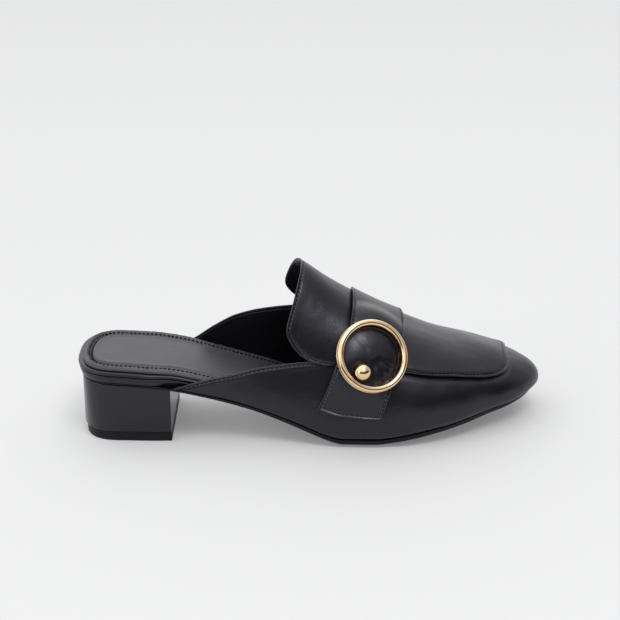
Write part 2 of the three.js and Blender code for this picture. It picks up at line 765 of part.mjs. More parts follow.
// Turns a profile of radius and height into a round solid on the buckle's axis
function makeRound(name, profile, segments, offset) {
  const shape = new THREE.LatheGeometry(profile, segments);
  shape.translate(offset.x, offset.y, offset.z);
  shape.applyMatrix4(buckle);
  const flat = shape.toNonIndexed().getAttribute("position");
  const cornerAt = (_, k) => new THREE.Vector3().fromBufferAttribute(flat, k);
  const corners = Array.from({ length: flat.count }, cornerAt);
  return makeMesh(name, gold, corners);
}

// Ring with a flat flange below and a round bead above, parted by a groove
function makeRing() {
  const inner = ringRadius - ringWidth / 2;
  const outer = ringRadius + ringWidth / 2;
  const beadHeight = ringHeight - flangeHeight;
  const profile = [
    new THREE.Vector2(inner + ringGroove, 0),
    new THREE.Vector2(outer - ringChamfer, 0),
    new THREE.Vector2(outer, ringChamfer),
    new THREE.Vector2(outer, flangeHeight - ringChamfer),
    new THREE.Vector2(outer - ringGroove, flangeHeight),
  ];
  for (const turn of spread(-10, 190, 7)) {
    const angle = THREE.MathUtils.degToRad(turn);
    const radius = ringRadius + (ringWidth / 2) * Math.cos(angle);
    profile.push(new THREE.Vector2(radius, ringHeight - beadHeight * 0.6 * (1 - Math.sin(angle))));
  }
  profile.push(new THREE.Vector2(inner + ringGroove, flangeHeight), profile[0].clone());
  return makeRound("buckle_ring", profile, 36, new THREE.Vector3());
}

// Ball stud on a short post, beside the ring's inner edge
function makeBall() {
  const away = ringRadius - ringWidth / 2 - ballRadius - gap;
  const profile = [new THREE.Vector2(0, 0), new THREE.Vector2(postRadius, 0)];
  const start = Math.asin(postRadius / ballRadius);
  for (const angle of spread(start, Math.PI, 9)) {
    profile.push(new THREE.Vector2(ballRadius * Math.sin(angle), ballRise - ballRadius * Math.cos(angle)));
  }
  profile[profile.length - 1].x = 0;
  const offset = new THREE.Vector3(away * Math.cos(ballTurn), ballFoot, away * Math.sin(ballTurn));
  return makeRound("buckle_ball", profile, 18, offset);
}

const shoe = new THREE.Group();
shoe.add(makeOutsole(), makeMidsole(), makeInsoleBoard(), makeSock(), makeHeelBlock(), makeTopLift());
shoe.add(makeTread(), makeUpper(), makeApron(), makeStrap(), makeRing(), makeBall());

// The origin is under the middle of the shoe, on the floor.
const middle = new THREE.Box3().setFromObject(shoe).getCenter(new THREE.Vector3());
shoe.position.set(-middle.x, -middle.y, 0);

export default shoe;
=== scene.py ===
import math
from bisect import bisect_right

import bmesh
import bpy
from mathutils import Matrix, Vector, kdtree, noise


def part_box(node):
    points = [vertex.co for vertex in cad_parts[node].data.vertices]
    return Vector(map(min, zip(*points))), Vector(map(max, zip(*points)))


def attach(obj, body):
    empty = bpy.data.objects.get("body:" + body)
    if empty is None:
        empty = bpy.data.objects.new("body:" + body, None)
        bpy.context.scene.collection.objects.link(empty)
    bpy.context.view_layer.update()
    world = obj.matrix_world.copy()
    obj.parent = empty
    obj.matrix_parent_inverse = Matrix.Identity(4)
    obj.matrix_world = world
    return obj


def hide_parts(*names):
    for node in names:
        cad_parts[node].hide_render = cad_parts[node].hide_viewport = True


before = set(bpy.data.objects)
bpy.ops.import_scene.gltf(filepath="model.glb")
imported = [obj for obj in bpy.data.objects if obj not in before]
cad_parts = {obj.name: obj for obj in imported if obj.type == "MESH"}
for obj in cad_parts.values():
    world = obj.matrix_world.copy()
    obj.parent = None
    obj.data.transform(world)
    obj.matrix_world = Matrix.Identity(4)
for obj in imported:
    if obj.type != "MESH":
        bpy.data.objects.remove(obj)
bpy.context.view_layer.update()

# Driving sizes of the last
SHOE_LENGTH = 250.0
BALL_WIDTH = 80.0
SEAT_WIDTH = 59.0
HEEL_HEIGHT = 33.9
TOE_SPRING = 11.5
INSTEP_HEIGHT = 90.0
BOX_HEIGHT = 20.0
LEAN_HEIGHT = 30.0

# Walls and layers
GAP = 0.3
UPPER_WALL = 1.8
LINING_WALL = 0.6
APRON_THICKNESS = 1.3
STRAP_THICKNESS = 1.6
TREAD_THICKNESS = 1.7
TREAD_INSET = 4.0
SOLE_THICKNESS = 2.4
SEAT_SOLE_THICKNESS = 0.9
SOLE_MARGIN = 0.3
MIDSOLE_THICKNESS = 1.2
SEAT_MIDSOLE_THICKNESS = 3.9
BOARD_THICKNESS = 1.5
SEAT_BOARD_THICKNESS = 2.0
SOCK_THICKNESS = 1.3
SOCK_INSET = 2.6

# Heel and tread
HEEL_BREAST = 0.208 * SHOE_LENGTH
HEEL_INSET = 2.0
LIFT_THICKNESS = 5.6
LIFT_INSET = 1.1
TREAD_START = 131.0
TREAD_END = 0.944 * SHOE_LENGTH

# Buckle
BUCKLE_DOWN = -0.588
BUCKLE_LEAN = math.radians(8)
BUCKLE_DROP = math.radians(-2)
BUCKLE_ACROSS = 0.48
RING_SEAT = 2.2
RING_RADIUS = 17.5
RING_WIDTH = 3.4
RING_HEIGHT = 4.2
RING_GROOVE = 0.5
FLANGE_HEIGHT = 1.4
BALL_RADIUS = 4.35
BALL_RISE = 4.3
BALL_FOOT = 1.0
BALL_TURN = math.radians(106)
POST_RADIUS = 2.2
PAD_RISE = 3.1
PAD_START = 4.0
PAD_FADE = 14.0
SEAM_STEP = 0.1
SEAM_MARGIN = 0.01

# Centres that the toe and the seat are fanned out from, and zones of the length
TOE_POLE = 0.8 * SHOE_LENGTH
HEEL_POLE = 0.11 * SHOE_LENGTH
SEAT_BACK = 0.007 * SHOE_LENGTH
SEAT_ROUNDNESS = 2.75
FOOT_TUCK = math.radians(62)
SEAT_END = 0.2
WAIST = 0.5
BALL_START = 0.62
QUARTER_FADE = 0.16
QUARTER_START = 0.216 * SHOE_LENGTH
THROAT_START = 0.54 * SHOE_LENGTH
THROAT_END = 0.61 * SHOE_LENGTH

# Tongue and strap
TONGUE_TOP = 120.6
TONGUE_SWEEP = 10.8
TONGUE_CORNER = 18.0
CORNER_SHARE = 0.17
STRAP_DROP = 0.92


def table(columns, *rows):
    """Lists of values by column name."""
    return dict(zip(columns.split(), zip(*rows)))


# Plan outline where the upper meets the sole, from the outer side of the seat round the toe to the
# inner side. at is a share of the length, across a share of the width.
PLAN = table(
    "at across",
    (0.11, -0.488), (0.17, -0.498), (0.23, -0.487), (0.3, -0.439), (0.38, -0.394), (0.45, -0.388),
    (0.52, -0.412), (0.59, -0.428), (0.66, -0.429), (0.72, -0.411), (0.78, -0.354), (0.832, -0.275),
    (0.88, -0.175), (0.925, -0.088), (0.961, 0.02), (0.983, 0.135), (0.987, 0.236), (0.978, 0.328),
    (0.956, 0.418), (0.918, 0.488), (0.866, 0.535), (0.8, 0.56), (0.73, 0.568), (0.65, 0.552),
    (0.58, 0.508), (0.51, 0.449), (0.44, 0.405), (0.37, 0.405), (0.3, 0.438), (0.23, 0.487),
    (0.17, 0.498), (0.11, 0.488),
)
TIP_ROW = 16

# Underside of the sole: rise is a share of HEEL_HEIGHT, spring of TOE_SPRING.
SIDE_PROFILE = table(
    "at rise spring",
    (0, 1, 0), (0.1, 0.969, 0), (0.2, 0.906, 0), (0.3, 0.727, 0), (0.376, 0.552, 0),
    (0.42, 0.43, 0), (0.46, 0.307, 0), (0.5, 0.18, 0), (0.545, 0.042, 0), (0.568, 0, 0),
    (0.64, 0, 0), (0.68, 0, 0.093), (0.72, 0, 0.222), (0.76, 0, 0.352), (0.8, 0, 0.471),
    (0.89, 0, 0.724), (1, 0, 1),
)

# Crest: height is a share of INSTEP_HEIGHT, lean of BALL_WIDTH, full the section's exponent.
CREST = table(
    "at height lean full",
    (0.3, 1.1, 0.045, 1.72), (0.42, 1.1, 0.045, 1.86), (0.48, 0.995, 0.05, 1.95),
    (0.544, 0.861, 0.06, 2.05), (0.588, 0.779, 0.065, 2.1), (0.632, 0.707, 0.075, 2.1),
    (0.672, 0.646, 0.085, 2.15), (0.72, 0.576, 0.095, 2.2), (0.76, 0.526, 0.103, 2.25),
    (0.808, 0.481, 0.12, 2.3), (0.848, 0.455, 0.12, 2.3), (0.892, 0.43, 0.12, 2.3),
    (0.944, 0.404, 0.12, 2.3), (1, 0.37, 0.12, 2.3),
)

# Swell of the wall past the sole and the height of its widest line, shares of BOX_HEIGHT, and the share
# of its half width by which it leans in above
WALL = table(
    "at out high tilt",
    (0.2, 0.015, 0.08, 0.06), (0.32, 0.03, 0.15, 0.1), (0.42, 0.055, 0.2, 0.11),
    (0.52, 0.085, 0.24, 0.09), (0.64, 0.11, 0.27, 0.025), (0.76, 0.13, 0.24, 0),
    (0.86, 0.16, 0.2, 0), (0.94, 0.2, 0.17, 0), (1, 0.25, 0.15, 0),
)

# Topline height, a share of INSTEP_HEIGHT
TOPLINE = table(
    "at outer inner",
    (0.216, 0.352, 0.352), (0.252, 0.385, 0.42), (0.292, 0.412, 0.506), (0.34, 0.437, 0.584),
    (0.39, 0.471, 0.62), (0.44, 0.494, 0.633), (0.5, 0.516, 0.637), (0.54, 0.528, 0.637),
)

# Edge of the apron, as a share of the way from the crest to the widest line in plan
SIDE_SEAM = table(
    "at outer inner",
    (0.46, 0.8, 0.72), (0.5, 0.812, 0.722), (0.53, 0.81, 0.727), (0.61, 0.797, 0.755),
    (0.7, 0.787, 0.767), (0.8, 0.785, 0.775),
)
TOE_SEAM = table(
    "turn reach",
    (-90, 0.782), (-66, 0.815), (-52, 0.838), (-39, 0.845), (-30, 0.83), (-21, 0.795), (-12, 0.715),
    (0, 0.625), (10, 0.612), (22, 0.665), (37, 0.775), (52, 0.815), (70, 0.8), (90, 0.775),
)

# Rear edge of the tongue, a share of TONGUE_SWEEP, and the edges of the strap, shares of the length
TONGUE_REAR = table(
    "down outer inner",
    (0, 0, 0), (0.2, 0.03, 0.12), (0.45, 0.2, 0.39), (0.65, 0.42, 0.62), (0.8, 0.64, 0.8), (1, 1, 1),
)
STRAP = table(
    "down rear front",
    (0, 0.592, 0.704), (0.21, 0.59, 0.701), (0.48, 0.582, 0.689), (0.74, 0.554, 0.674),
    (0.9, 0.531, 0.66), (1, 0.514, 0.651),
)


def lerp(a, b, t):
    return a + (b - a) * t


def smoothstep(x, low, high):
    t = min(max((x - low) / (high - low), 0.0), 1.0)
    return t * t * (3 - 2 * t)


def spread(start, end, steps):
    return [lerp(start, end, k / steps) for k in range(steps + 1)]


def bell(x, middle, width):
    return math.exp(-(((x - middle) / width) ** 2))


def curve(rows, key):
    """Smooth curve through one column that never overshoots its rows. The first column is the way along."""
    places = list(rows.values())[0]
    values = rows[key]
    last = len(places) - 1

    def chord(k):
        return (values[k + 1] - values[k]) / (places[k + 1] - places[k])

    def slope(k):
        if k == 0:
            return chord(0)
        if k == last:
            return chord(last - 1)
        before, after = chord(k - 1), chord(k)
        return 0.0 if before * after <= 0 else 2 * before * after / (before + after)

    slopes = [slope(k) for k in range(last + 1)]

    def at(place):
        if place <= places[0]:
            return values[0]
        if place >= places[last]:
            return values[last]
        k = bisect_right(places, place) - 1
        span = places[k + 1] - places[k]
        t = (place - places[k]) / span
        fade = t * t * (3 - 2 * t)
        bend = (1 - t) * slopes[k] - t * slopes[k + 1]
        return values[k] + (values[k + 1] - values[k]) * fade + span * t * (1 - t) * bend

    return at


def along(rows, key):
    """The same curve, read at a length in millimetres."""
    at = curve(rows, key)
    return lambda x: at(x / SHOE_LENGTH)


rise_at = along(SIDE_PROFILE, "rise")
spring_at = along(SIDE_PROFILE, "spring")
height_at = along(CREST, "height")
lean_at = along(CREST, "lean")
full_at = along(CREST, "full")
swell_at = along(WALL, "out")
high_at = along(WALL, "high")
tilt_at = along(WALL, "tilt")
topline_at = {-1: along(TOPLINE, "outer"), 1: along(TOPLINE, "inner")}
side_seam_at = {-1: along(SIDE_SEAM, "outer"), 1: along(SIDE_SEAM, "inner")}
toe_seam_at = curve(TOE_SEAM, "reach")
tongue_rear_at = {-1: curve(TONGUE_REAR, "outer"), 1: curve(TONGUE_REAR, "inner")}
strap_rear_at = curve(STRAP, "rear")
strap_front_at = curve(STRAP, "front")


def blend(x, low, high):
    return smoothstep(x / SHOE_LENGTH, low, high)


def covered_at(x):
    return blend(x, QUARTER_FADE, QUARTER_START / SHOE_LENGTH)


# Levels of the stack under the foot
def layer(seat, forepart):
    return lambda x: lerp(seat, forepart, blend(x, SEAT_END, BALL_START))


sole_layer = layer(SEAT_SOLE_THICKNESS, SOLE_THICKNESS)
midsole_layer = layer(SEAT_MIDSOLE_THICKNESS, MIDSOLE_THICKNESS)
board_layer = layer(SEAT_BOARD_THICKNESS, BOARD_THICKNESS)


def sole_bottom(x):
    tread = TREAD_THICKNESS + GAP
    return tread + rise_at(x) * (HEEL_HEIGHT - tread) + spring_at(x) * TOE_SPRING


def sole_top(x):
    return sole_bottom(x) + sole_layer(x)


def midsole_bottom(x):
    return sole_top(x) + GAP


def midsole_top(x):
    return midsole_bottom(x) + midsole_layer(x)


def board_bottom(x):
    return midsole_top(x) + GAP


def board_top(x):
    return board_bottom(x) + board_layer(x)


def sock_bottom(x):
    return board_top(x) + GAP


def width_at(x):
    return lerp(SEAT_WIDTH, BALL_WIDTH, blend(x, SEAT_END, WAIST))


def spine_at(x):
    return lean_at(x) * BALL_WIDTH * blend(x, HEEL_POLE / SHOE_LENGTH, WAIST)


# The plan outline as a fine polyline, from a Catmull-Rom curve through the rows
OUTLINE_STEPS = 60


def outline_points():
    rows = []
    for at, across in zip(*PLAN.values()):
        x = at * SHOE_LENGTH
        rows.append(Vector((x, across * width_at(x), 0)))
    rows = [2 * rows[0] - rows[1]] + rows + [2 * rows[-1] - rows[-2]]
    points = []
    for k in range(1, len(rows) - 2):
        before, a, b, after = rows[k - 1 : k + 3]
        leave, arrive = (b - before) / 2, (after - a) / 2
        for step in range(OUTLINE_STEPS):
            t = step / OUTLINE_STEPS
            square, cube = 2 * a - 2 * b + leave + arrive, -3 * a + 3 * b - 2 * leave - arrive
            points.append(a + leave * t + cube * t * t + square * t * t * t)
    return points + [rows[-2]]


OUTLINE = outline_points()
OUTLINE_TIP = TIP_ROW * OUTLINE_STEPS
OUTER_RUN = OUTLINE[: OUTLINE_TIP + 1]
INNER_RUN = OUTLINE[OUTLINE_TIP:][::-1]
RUNS = {-1: (OUTER_RUN, [p.x for p in OUTER_RUN]), 1: (INNER_RUN, [p.x for p in INNER_RUN])}


def run_lengths(points):
    """Length of a polyline up to each of its points."""
    lengths = [0.0]
    for a, b in zip(points, points[1:]):
        lengths.append(lengths[-1] + (b - a).length)
    return lengths


def on_run(points, keys, key):
    """Point of a polyline at the place where its keys, which rise, reach key."""
    k = min(max(bisect_right(keys, key), 1), len(keys) - 1)
    t = (key - keys[k - 1]) / max(keys[k] - keys[k - 1], 1e-9)
    return points[k - 1].lerp(points[k], min(max(t, 0.0), 1.0))


class Station:
    """One upright section of the last, from its foot on the outline to its apex on the centre line."""

    def __init__(self, foot, apex):
        out = foot - apex
        out.z = 0
        self.foot = foot
        self.apex = apex
        self.out = out.normalized()
        self.wide = foot + self.out * swell_at(foot.x) * BOX_HEIGHT
        self.feather_z = sole_top(foot.x) + GAP
        self.wide_z = self.feather_z + high_at(foot.x) * BOX_HEIGHT
        self.power = 2 / full_at(apex.x)
        self.tilt = tilt_at(foot.x)

    def leaned_in(self, rise):
        """Share of its half width that the section keeps at a rise over the widest line."""
        return 1 - self.tilt * smoothstep(rise, 0, LEAN_HEIGHT)


def side_station(x, side):
    foot = on_run(*RUNS[side], x)
    foot.x = x
    return Station(foot, Vector((x, spine_at(x), 0)))


TOE_APEX = Vector((TOE_POLE, spine_at(TOE_POLE), 0))
TOE_RUN = [p for p in OUTLINE if p.x > TOE_POLE - 2]
TOE_ANGLES = [math.atan2(p.y - TOE_APEX.y, p.x - TOE_APEX.x) for p in TOE_RUN]


def toe_station(turn):
    """turn runs in degrees from -90 on the outer to 90 on the inner side."""
    return Station(on_run(TOE_RUN, TOE_ANGLES, math.radians(turn)), TOE_APEX.copy())


def seat_station(turn):
    """turn runs in degrees from 90 on the inner to -90 on the outer side."""
    half = side_station(HEEL_POLE, 1 if turn > 0 else -1).foot.y
    aim = math.radians(abs(turn))
    back = max(math.cos(aim), 0.0) ** (2 / SEAT_ROUNDNESS)
    across = math.sin(aim) ** (2 / SEAT_ROUNDNESS)
    foot = Vector((HEEL_POLE - (HEEL_POLE - SEAT_BACK) * back, half * across, 0))
    return Station(foot, Vector((HEEL_POLE, 0, 0)))


def crest_height(x, depth):
    slope = (height_at(x + 1) - height_at(x - 1)) * INSTEP_HEIGHT * 0.5
    return height_at(x) * INSTEP_HEIGHT - depth * math.hypot(1, slope)


def last_point(station, climb, depth):
    """Point of the last: climb is -1 at the sole, 0 at the widest line and 1 at the apex."""
    if climb >= 1:
        return Vector((station.apex.x, station.apex.y, crest_height(station.apex.x, depth)))
    if climb < 0:
        tuck = -climb * FOOT_TUCK
        reach = (math.cos(tuck) - math.cos(FOOT_TUCK)) / (1 - math.cos(FOOT_TUCK))
        point = station.foot.lerp(station.wide, reach) - station.out * depth
        drop = (station.wide_z - station.feather_z) * math.sin(tuck) / math.sin(FOOT_TUCK)
        point.z = station.wide_z - drop
        return point
    turn = (1 - climb) * math.pi / 2
    rim = station.wide - station.out * depth
    point = station.apex.lerp(rim, math.sin(turn) ** station.power)
    rise = (crest_height(point.x, depth) - station.wide_z) * max(math.cos(turn), 0.0) ** station.power
    point = station.apex.lerp(point, station.leaned_in(rise))
    point.z = station.wide_z + rise
    return point


def climb_at_height(station, z):
    if z <= station.wide_z:
        sine = (station.wide_z - z) / (station.wide_z - station.feather_z) * math.sin(FOOT_TUCK)
        return -math.asin(min(sine, math.sin(FOOT_TUCK))) / FOOT_TUCK
    rise = (z - station.wide_z) / (crest_height(station.apex.x, 0) - station.wide_z)
    return 1 - math.acos(min(rise, 1) ** (1 / station.power)) / (math.pi / 2)


# Halvings of the search for a climb
HALVINGS = 32


def climb_at_reach(station, reach):
    """Climb at which a section has come in to a share of its half width in plan."""
    height = crest_height(station.apex.x, 0) - station.wide_z
    low, high = 0.0, 1.0
    for _ in range(HALVINGS):
        middle = (low + high) / 2
        turn = (1 - middle) * math.pi / 2
        rise = height * math.cos(turn) ** station.power
        if math.sin(turn) ** station.power * station.leaned_in(rise) > reach:
            low = middle
        else:
            high = middle
    return low


# From millimetres of the last to metres of the shared frame
HEEL_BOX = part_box("heel_block")
SHIFT = Vector((HEEL_BOX[1][0] * 1000 - HEEL_BREAST, (HEEL_BOX[0][1] + HEEL_BOX[1][1]) * 500, 0))


def metres(point):
    return (point + SHIFT) / 1000


def add_object(name, data):
    thing = bpy.data.objects.new(name, data)
    bpy.context.scene.collection.objects.link(thing)
    return thing


def make_object(name, points, faces, material, smooth_angle=40):
    """Mesh of points in millimetres, merged where they meet and sharp beyond an angle in degrees."""
    mesh = bpy.data.meshes.new(name)
    mesh.from_pydata([metres(p) for p in points], [], faces)
    mesh.materials.append(material)
    shape = bmesh.new()
    shape.from_mesh(mesh)
    bmesh.ops.remove_doubles(shape, verts=shape.verts, dist=1e-6)
    bmesh.ops.recalc_face_normals(shape, faces=shape.faces)
    shape.to_mesh(mesh)
    shape.free()
    mesh.shade_smooth()
    mesh.set_sharp_from_angle(angle=math.radians(smooth_angle))
    return add_object(name, mesh)


def ride(piece, slot, *replaced):
    """The shoe has no joints, so every piece rides on the root."""
    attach(piece, "root")
    if replaced:
        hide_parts(*replaced)


def grid_faces(rows, steps, start=0, closed=False, flip=False):
    """Quads between rows of steps points each, counted from start, with the last row joined if closed."""
    faces = []
    for i in range(rows if closed else rows - 1):
        for j in range(steps - 1):
            a = start + i * steps + j
            b = start + ((i + 1) % rows) * steps + j
            quad = (a, b, b + 1, a + 1)
            faces.append(quad[::-1] if flip else quad)
    return faces


def make_ringed(name, sections, material, smooth_angle=40):
    """Solid of closed sections that stand round a ring."""
    points = [point for section in sections for point in section]
    faces = grid_faces(len(sections), len(sections[0]), closed=True)
    return make_object(name, points, faces, material, smooth_angle)


def around(segments):
    """Turns in radians, evenly round a circle."""
    return [2 * math.pi * k / segments for k in range(segments)]


def make_sheet(name, skin, rows, steps, material):
    """Closed sheet: skin(i, j, side) gives its outer side at side 1 and its inner side at -1."""
    outer = [skin(i, j, 1) for i in range(rows) for j in range(steps)]
    inner = [skin(i, j, -1) for i in range(rows) for j in range(steps)]
    count = len(outer)
    faces = grid_faces(rows, steps) + grid_faces(rows, steps, count, flip=True)
    last = count - steps
    border = [*range(0, last, steps), *range(last, count)]
    border += [*range(last - 1, 0, -steps), *range(steps - 2, 0, -1)]
    for a, b in zip(border, border[1:] + border[:1]):
        faces.append((a, b, b + count, a + count))
    return make_object(name, outer + inner, faces, material)


# Distances from a rounded edge at which its rows lie, close enough to shape the stitched groove
EDGE_ROWS = (0.0, 0.05, 0.2, 0.45, 0.8, 1.1, 1.4, 1.7, 2.1, 2.7)


def half_thickness(distance, thickness):
    """Half the thickness of a sheet at a distance from its rounded edge."""
    radius = thickness / 2
    if distance >= radius:
        return radius
    return radius * math.sqrt(max(1 - (1 - distance / radius) ** 2, 0.0))


def rows_between(length, spacing):
    """Distances along a length, closer together at its rounded edges."""
    low, high = EDGE_ROWS[-1], length - EDGE_ROWS[-1]
    middle = spread(low, high, round((high - low) / spacing))
    return list(EDGE_ROWS[:-1]) + middle + [length - d for d in EDGE_ROWS[-2::-1]]


# Relief of the leather, in millimetres
STITCH_PRESS = 0.55
STITCH_SPREAD = 0.45
RIM_SWELL = 0.26
UNEVEN_WIDE = 0.5
UNEVEN_FINE = 0.07
# Dents per millimetre along, across and up
WIDE_DENTS = (0.045, 0.06, 0.05)
FINE_DENTS = (0.16, 0.2, 0.18)


def stitch_groove(distance, line):
    """Depth to which a line of stitches presses the leather at a distance from its edge."""
    rim = RIM_SWELL * bell(distance, line * 0.5, line * 0.3)
    return STITCH_PRESS * bell(distance, line, STITCH_SPREAD) - rim


def dent(point, scales, seed):
    """Noise from -1 to 1 at a point, a pattern of its own for each seed."""
    along_x, along_y, along_z = scales
    return noise.noise(Vector((point.x * along_x, point.y * along_y, point.z * along_z + seed)))


def unevenness(point, seed):
    """Soft dents of drawn leather, a wide and a fine one."""
    return UNEVEN_WIDE * dent(point, WIDE_DENTS, seed) + UNEVEN_FINE * dent(point, FINE_DENTS, seed)


class EdgeLine:
    """A closed run of points, for the distance of a point from it."""

    def __init__(self, points):
        self.points = points
        self.tree = kdtree.KDTree(len(points))
        for k, point in enumerate(points):
            self.tree.insert(point, k)
        self.tree.balance()

    def distance(self, point):
        nearest = self.tree.find(point)[1]
        here = self.points[nearest]
        gaps = []
        for beside in (self.points[nearest - 1], self.points[(nearest + 1) % len(self.points)]):
            way = beside - here
            share = min(max((point - here).dot(way) / max(way.length_squared, 1e-9), 0.0), 1.0)
            gaps.append((here + way * share - point).length)
        return min(gaps)


# Materials
def new_material(name, color, roughness, metallic=0.0):
    material = bpy.data.materials.new(name)
    material.use_nodes = True
    shader = material.node_tree.nodes["Principled BSDF"]
    shader.inputs["Base Color"].default_value = (*color, 1)
    shader.inputs["Roughness"].default_value = roughness
    shader.inputs["Metallic"].default_value = metallic
    return material, shader


def add_node(material, kind, **inputs):
    node = material.node_tree.nodes.new(kind)
    for name, value in inputs.items():
        node.inputs[name.replace("_", " ")].default_value = value
    return node


def texture(material, kind, output, **inputs):
    """One output of a procedural texture, in metres of the object."""
    node = add_node(material, kind, **inputs)
    coordinates = add_node(material, "ShaderNodeTexCoord")
    material.node_tree.links.new(coordinates.outputs["Object"], node.inputs["Vector"])
    return node.outputs[output]


def spread_values(material, source, low, high, target):
    """Maps a 0 to 1 texture onto a range of an input."""
    node = add_node(material, "ShaderNodeMapRange", To_Min=low, To_Max=high)
    material.node_tree.links.new(source, node.inputs["Value"])
    material.node_tree.links.new(node.outputs["Result"], target)


def bump_chain(material, shader, *layers):
    """layers are (texture output, distance in metres, strength), the widest first."""
    links = material.node_tree.links
    before = None
    for source, distance, strength in layers:
        bump = add_node(material, "ShaderNodeBump", Strength=strength, Distance=distance)
        links.new(source, bump.inputs["Height"])
        if before:
            links.new(before.outputs["Normal"], bump.inputs["Normal"])
        before = bump
    links.new(before.outputs["Normal"], shader.inputs["Normal"])


REFLECTION_TINT = (0.89, 0.845, 1.0)
# Noise cells per metre: shallow waves and creases of the leather, its pores, and haze on the metal
WAVE_SCALE = 55
CREASE_SCALE = 260
PORE_SCALE = 1500
HAZE_SCALE = 420


def leather_material(name, color, roughness, crumple, grain, shine):
    """Black leather: crumple and grain are bump distances in metres, roughness a (low, high) pair."""
    material, shader = new_material(name, color, roughness[0])
    waves = texture(material, "ShaderNodeTexNoise", "Fac", Scale=WAVE_SCALE, Detail=2)
    creases = texture(material, "ShaderNodeTexNoise", "Fac", Scale=CREASE_SCALE, Detail=3)
    pores = texture(material, "ShaderNodeTexVoronoi", "Distance", Scale=PORE_SCALE)
    spread_values(material, waves, *roughness, shader.inputs["Roughness"])
    bump_chain(material, shader, (waves, crumple, 0.6), (creases, grain * 1.6, 0.5), (pores, grain, 0.5))
    shader.inputs["Specular IOR Level"].default_value = shine
    shader.inputs["Specular Tint"].default_value = (*REFLECTION_TINT, 1)
    return material


LEATHER = leather_material("leather_black", (0.0026, 0.0026, 0.0034), (0.27, 0.38), 0.0007, 0.00007, 0.54)
SOCK_LEATHER = leather_material("leather_sock", (0.045, 0.044, 0.048), (0.42, 0.52), 0.0006, 0.00011, 0.5)
LINING = leather_material("leather_lining", (0.0014, 0.0014, 0.0017), (0.45, 0.6), 0.0008, 0.0001, 0.4)
HEEL_LEATHER = leather_material("leather_heel", (0.0028, 0.0028, 0.0036), (0.16, 0.22), 0.0002, 0.00002, 0.54)
EDGE_PAINT = leather_material("edge_paint", (0.002, 0.002, 0.0024), (0.35, 0.45), 0.0003, 0.00003, 0.3)
RUBBER = leather_material("rubber_black", (0.0025, 0.0025, 0.003), (0.45, 0.55), 0.0003, 0.00006, 0.3)
THREAD = leather_material("thread_gray", (0.075, 0.075, 0.081), (0.4, 0.5), 0.0002, 0.00005, 0.5)
DARK_THREAD = leather_material("thread_black", (0.003, 0.003, 0.0035), (0.5, 0.6), 0.0002, 0.00005, 0.2)


def gold_material():
    material, shader = new_material("gold_plate", (0.84, 0.62, 0.37), 0.08, 1.0)
    haze = texture(material, "ShaderNodeTexNoise", "Fac", Scale=HAZE_SCALE, Detail=3)
    spread_values(material, haze, 0.05, 0.1, shader.inputs["Roughness"])
    bump_chain(material, shader, (haze, 0.00002, 0.3))
    return material


GOLD = gold_material()


# Plates of the bottom: sections from the edge to the centre line, round a ring of stations
FINE_SIDE = 2.0
TOE_TURNS = spread(-90, 90, 72)[1:-1]
SEAT_TURNS = spread(90, -90, 48)[1:-1]


def side_places(start, end, spacing=FINE_SIDE):
    return spread(start, end, max(2, round((end - start) / spacing)))


def ring_of_stations(start=HEEL_POLE, toe=True, seat=True, end=TOE_POLE):
    places = side_places(start, end)
    stations = [side_station(x, -1) for x in places]
    stations += [toe_station(turn) for turn in TOE_TURNS] if toe else []
    stations += [side_station(x, 1) for x in reversed(places)]
    stations += [seat_station(turn) for turn in SEAT_TURNS] if seat else []
    return stations


FULL_RING = ring_of_stations()
INSIDE_UPPER = UPPER_WALL + GAP
MIDDLE_SHARES = (0.12, 0.3, 0.5, 0.7, 0.85, 1.0)


def make_plate(name, stations, inset_at, levels, edge_at, material):
    """Plate between two levels, top and bottom. Its edge has rows of (level, inset, lift), from the top."""
    levels = dict(zip(("top", "bottom"), levels))

    def section(station):
        edge = edge_at(station)

        def place(share, face, extra, lift):
            point = station.foot - station.out * (inset_at(station) + extra)
            point = point.lerp(station.apex, share)
            point.z = levels[face](point.x) + lift
            return point

        rows = [place(share, *edge[0]) for share in reversed(MIDDLE_SHARES)]
        rows += [place(0, *row) for row in edge]
        return rows + [place(share, *edge[-1]) for share in MIDDLE_SHARES]

    return make_ringed(name, [section(station) for station in stations], material)


def round_edge(face, radius, steps):
    """Rows of a quarter round edge on one level, from the level out to the side or back."""
    sign = -1 if face == "top" else 1
    rows = []
    for turn in spread(0, math.pi / 2, steps):
        rows.append((face, radius * (1 - math.sin(turn)), sign * radius * (1 - math.cos(turn))))
    return rows if face == "top" else rows[::-1]


def tuck_in(station):
    return INSIDE_UPPER * covered_at(station.foot.x)


def rounded(top, bottom):
    """Edge with a (radius, steps) at the top and one at the bottom, the same at every station."""
    edge = round_edge("top", *top) + round_edge("bottom", *bottom)
    return lambda station: edge


def make_outsole():
    def inset(station):
        return lerp(HEEL_INSET, -SOLE_MARGIN, covered_at(station.foot.x))

    edge = rounded((0.3, 3), (0.4, 3))
    piece = make_plate("outsole_edge", FULL_RING, inset, (sole_top, sole_bottom), edge, EDGE_PAINT)
    ride(piece, "sole_rubber", "outsole")


def make_midsole():
    edge = [("top", 0.9, 0), ("top", 0.6, -0.1), ("top", 0.42, -0.35), ("top", 0.4, -0.7)]
    edge += [("bottom", 1.15, 0.6), ("bottom", 1.25, 0.25), ("bottom", 1.6, 0)]
    levels = (midsole_top, midsole_bottom)
    piece = make_plate("midsole_band", FULL_RING, tuck_in, levels, lambda station: edge, LEATHER)
    ride(piece, "leather", "midsole")


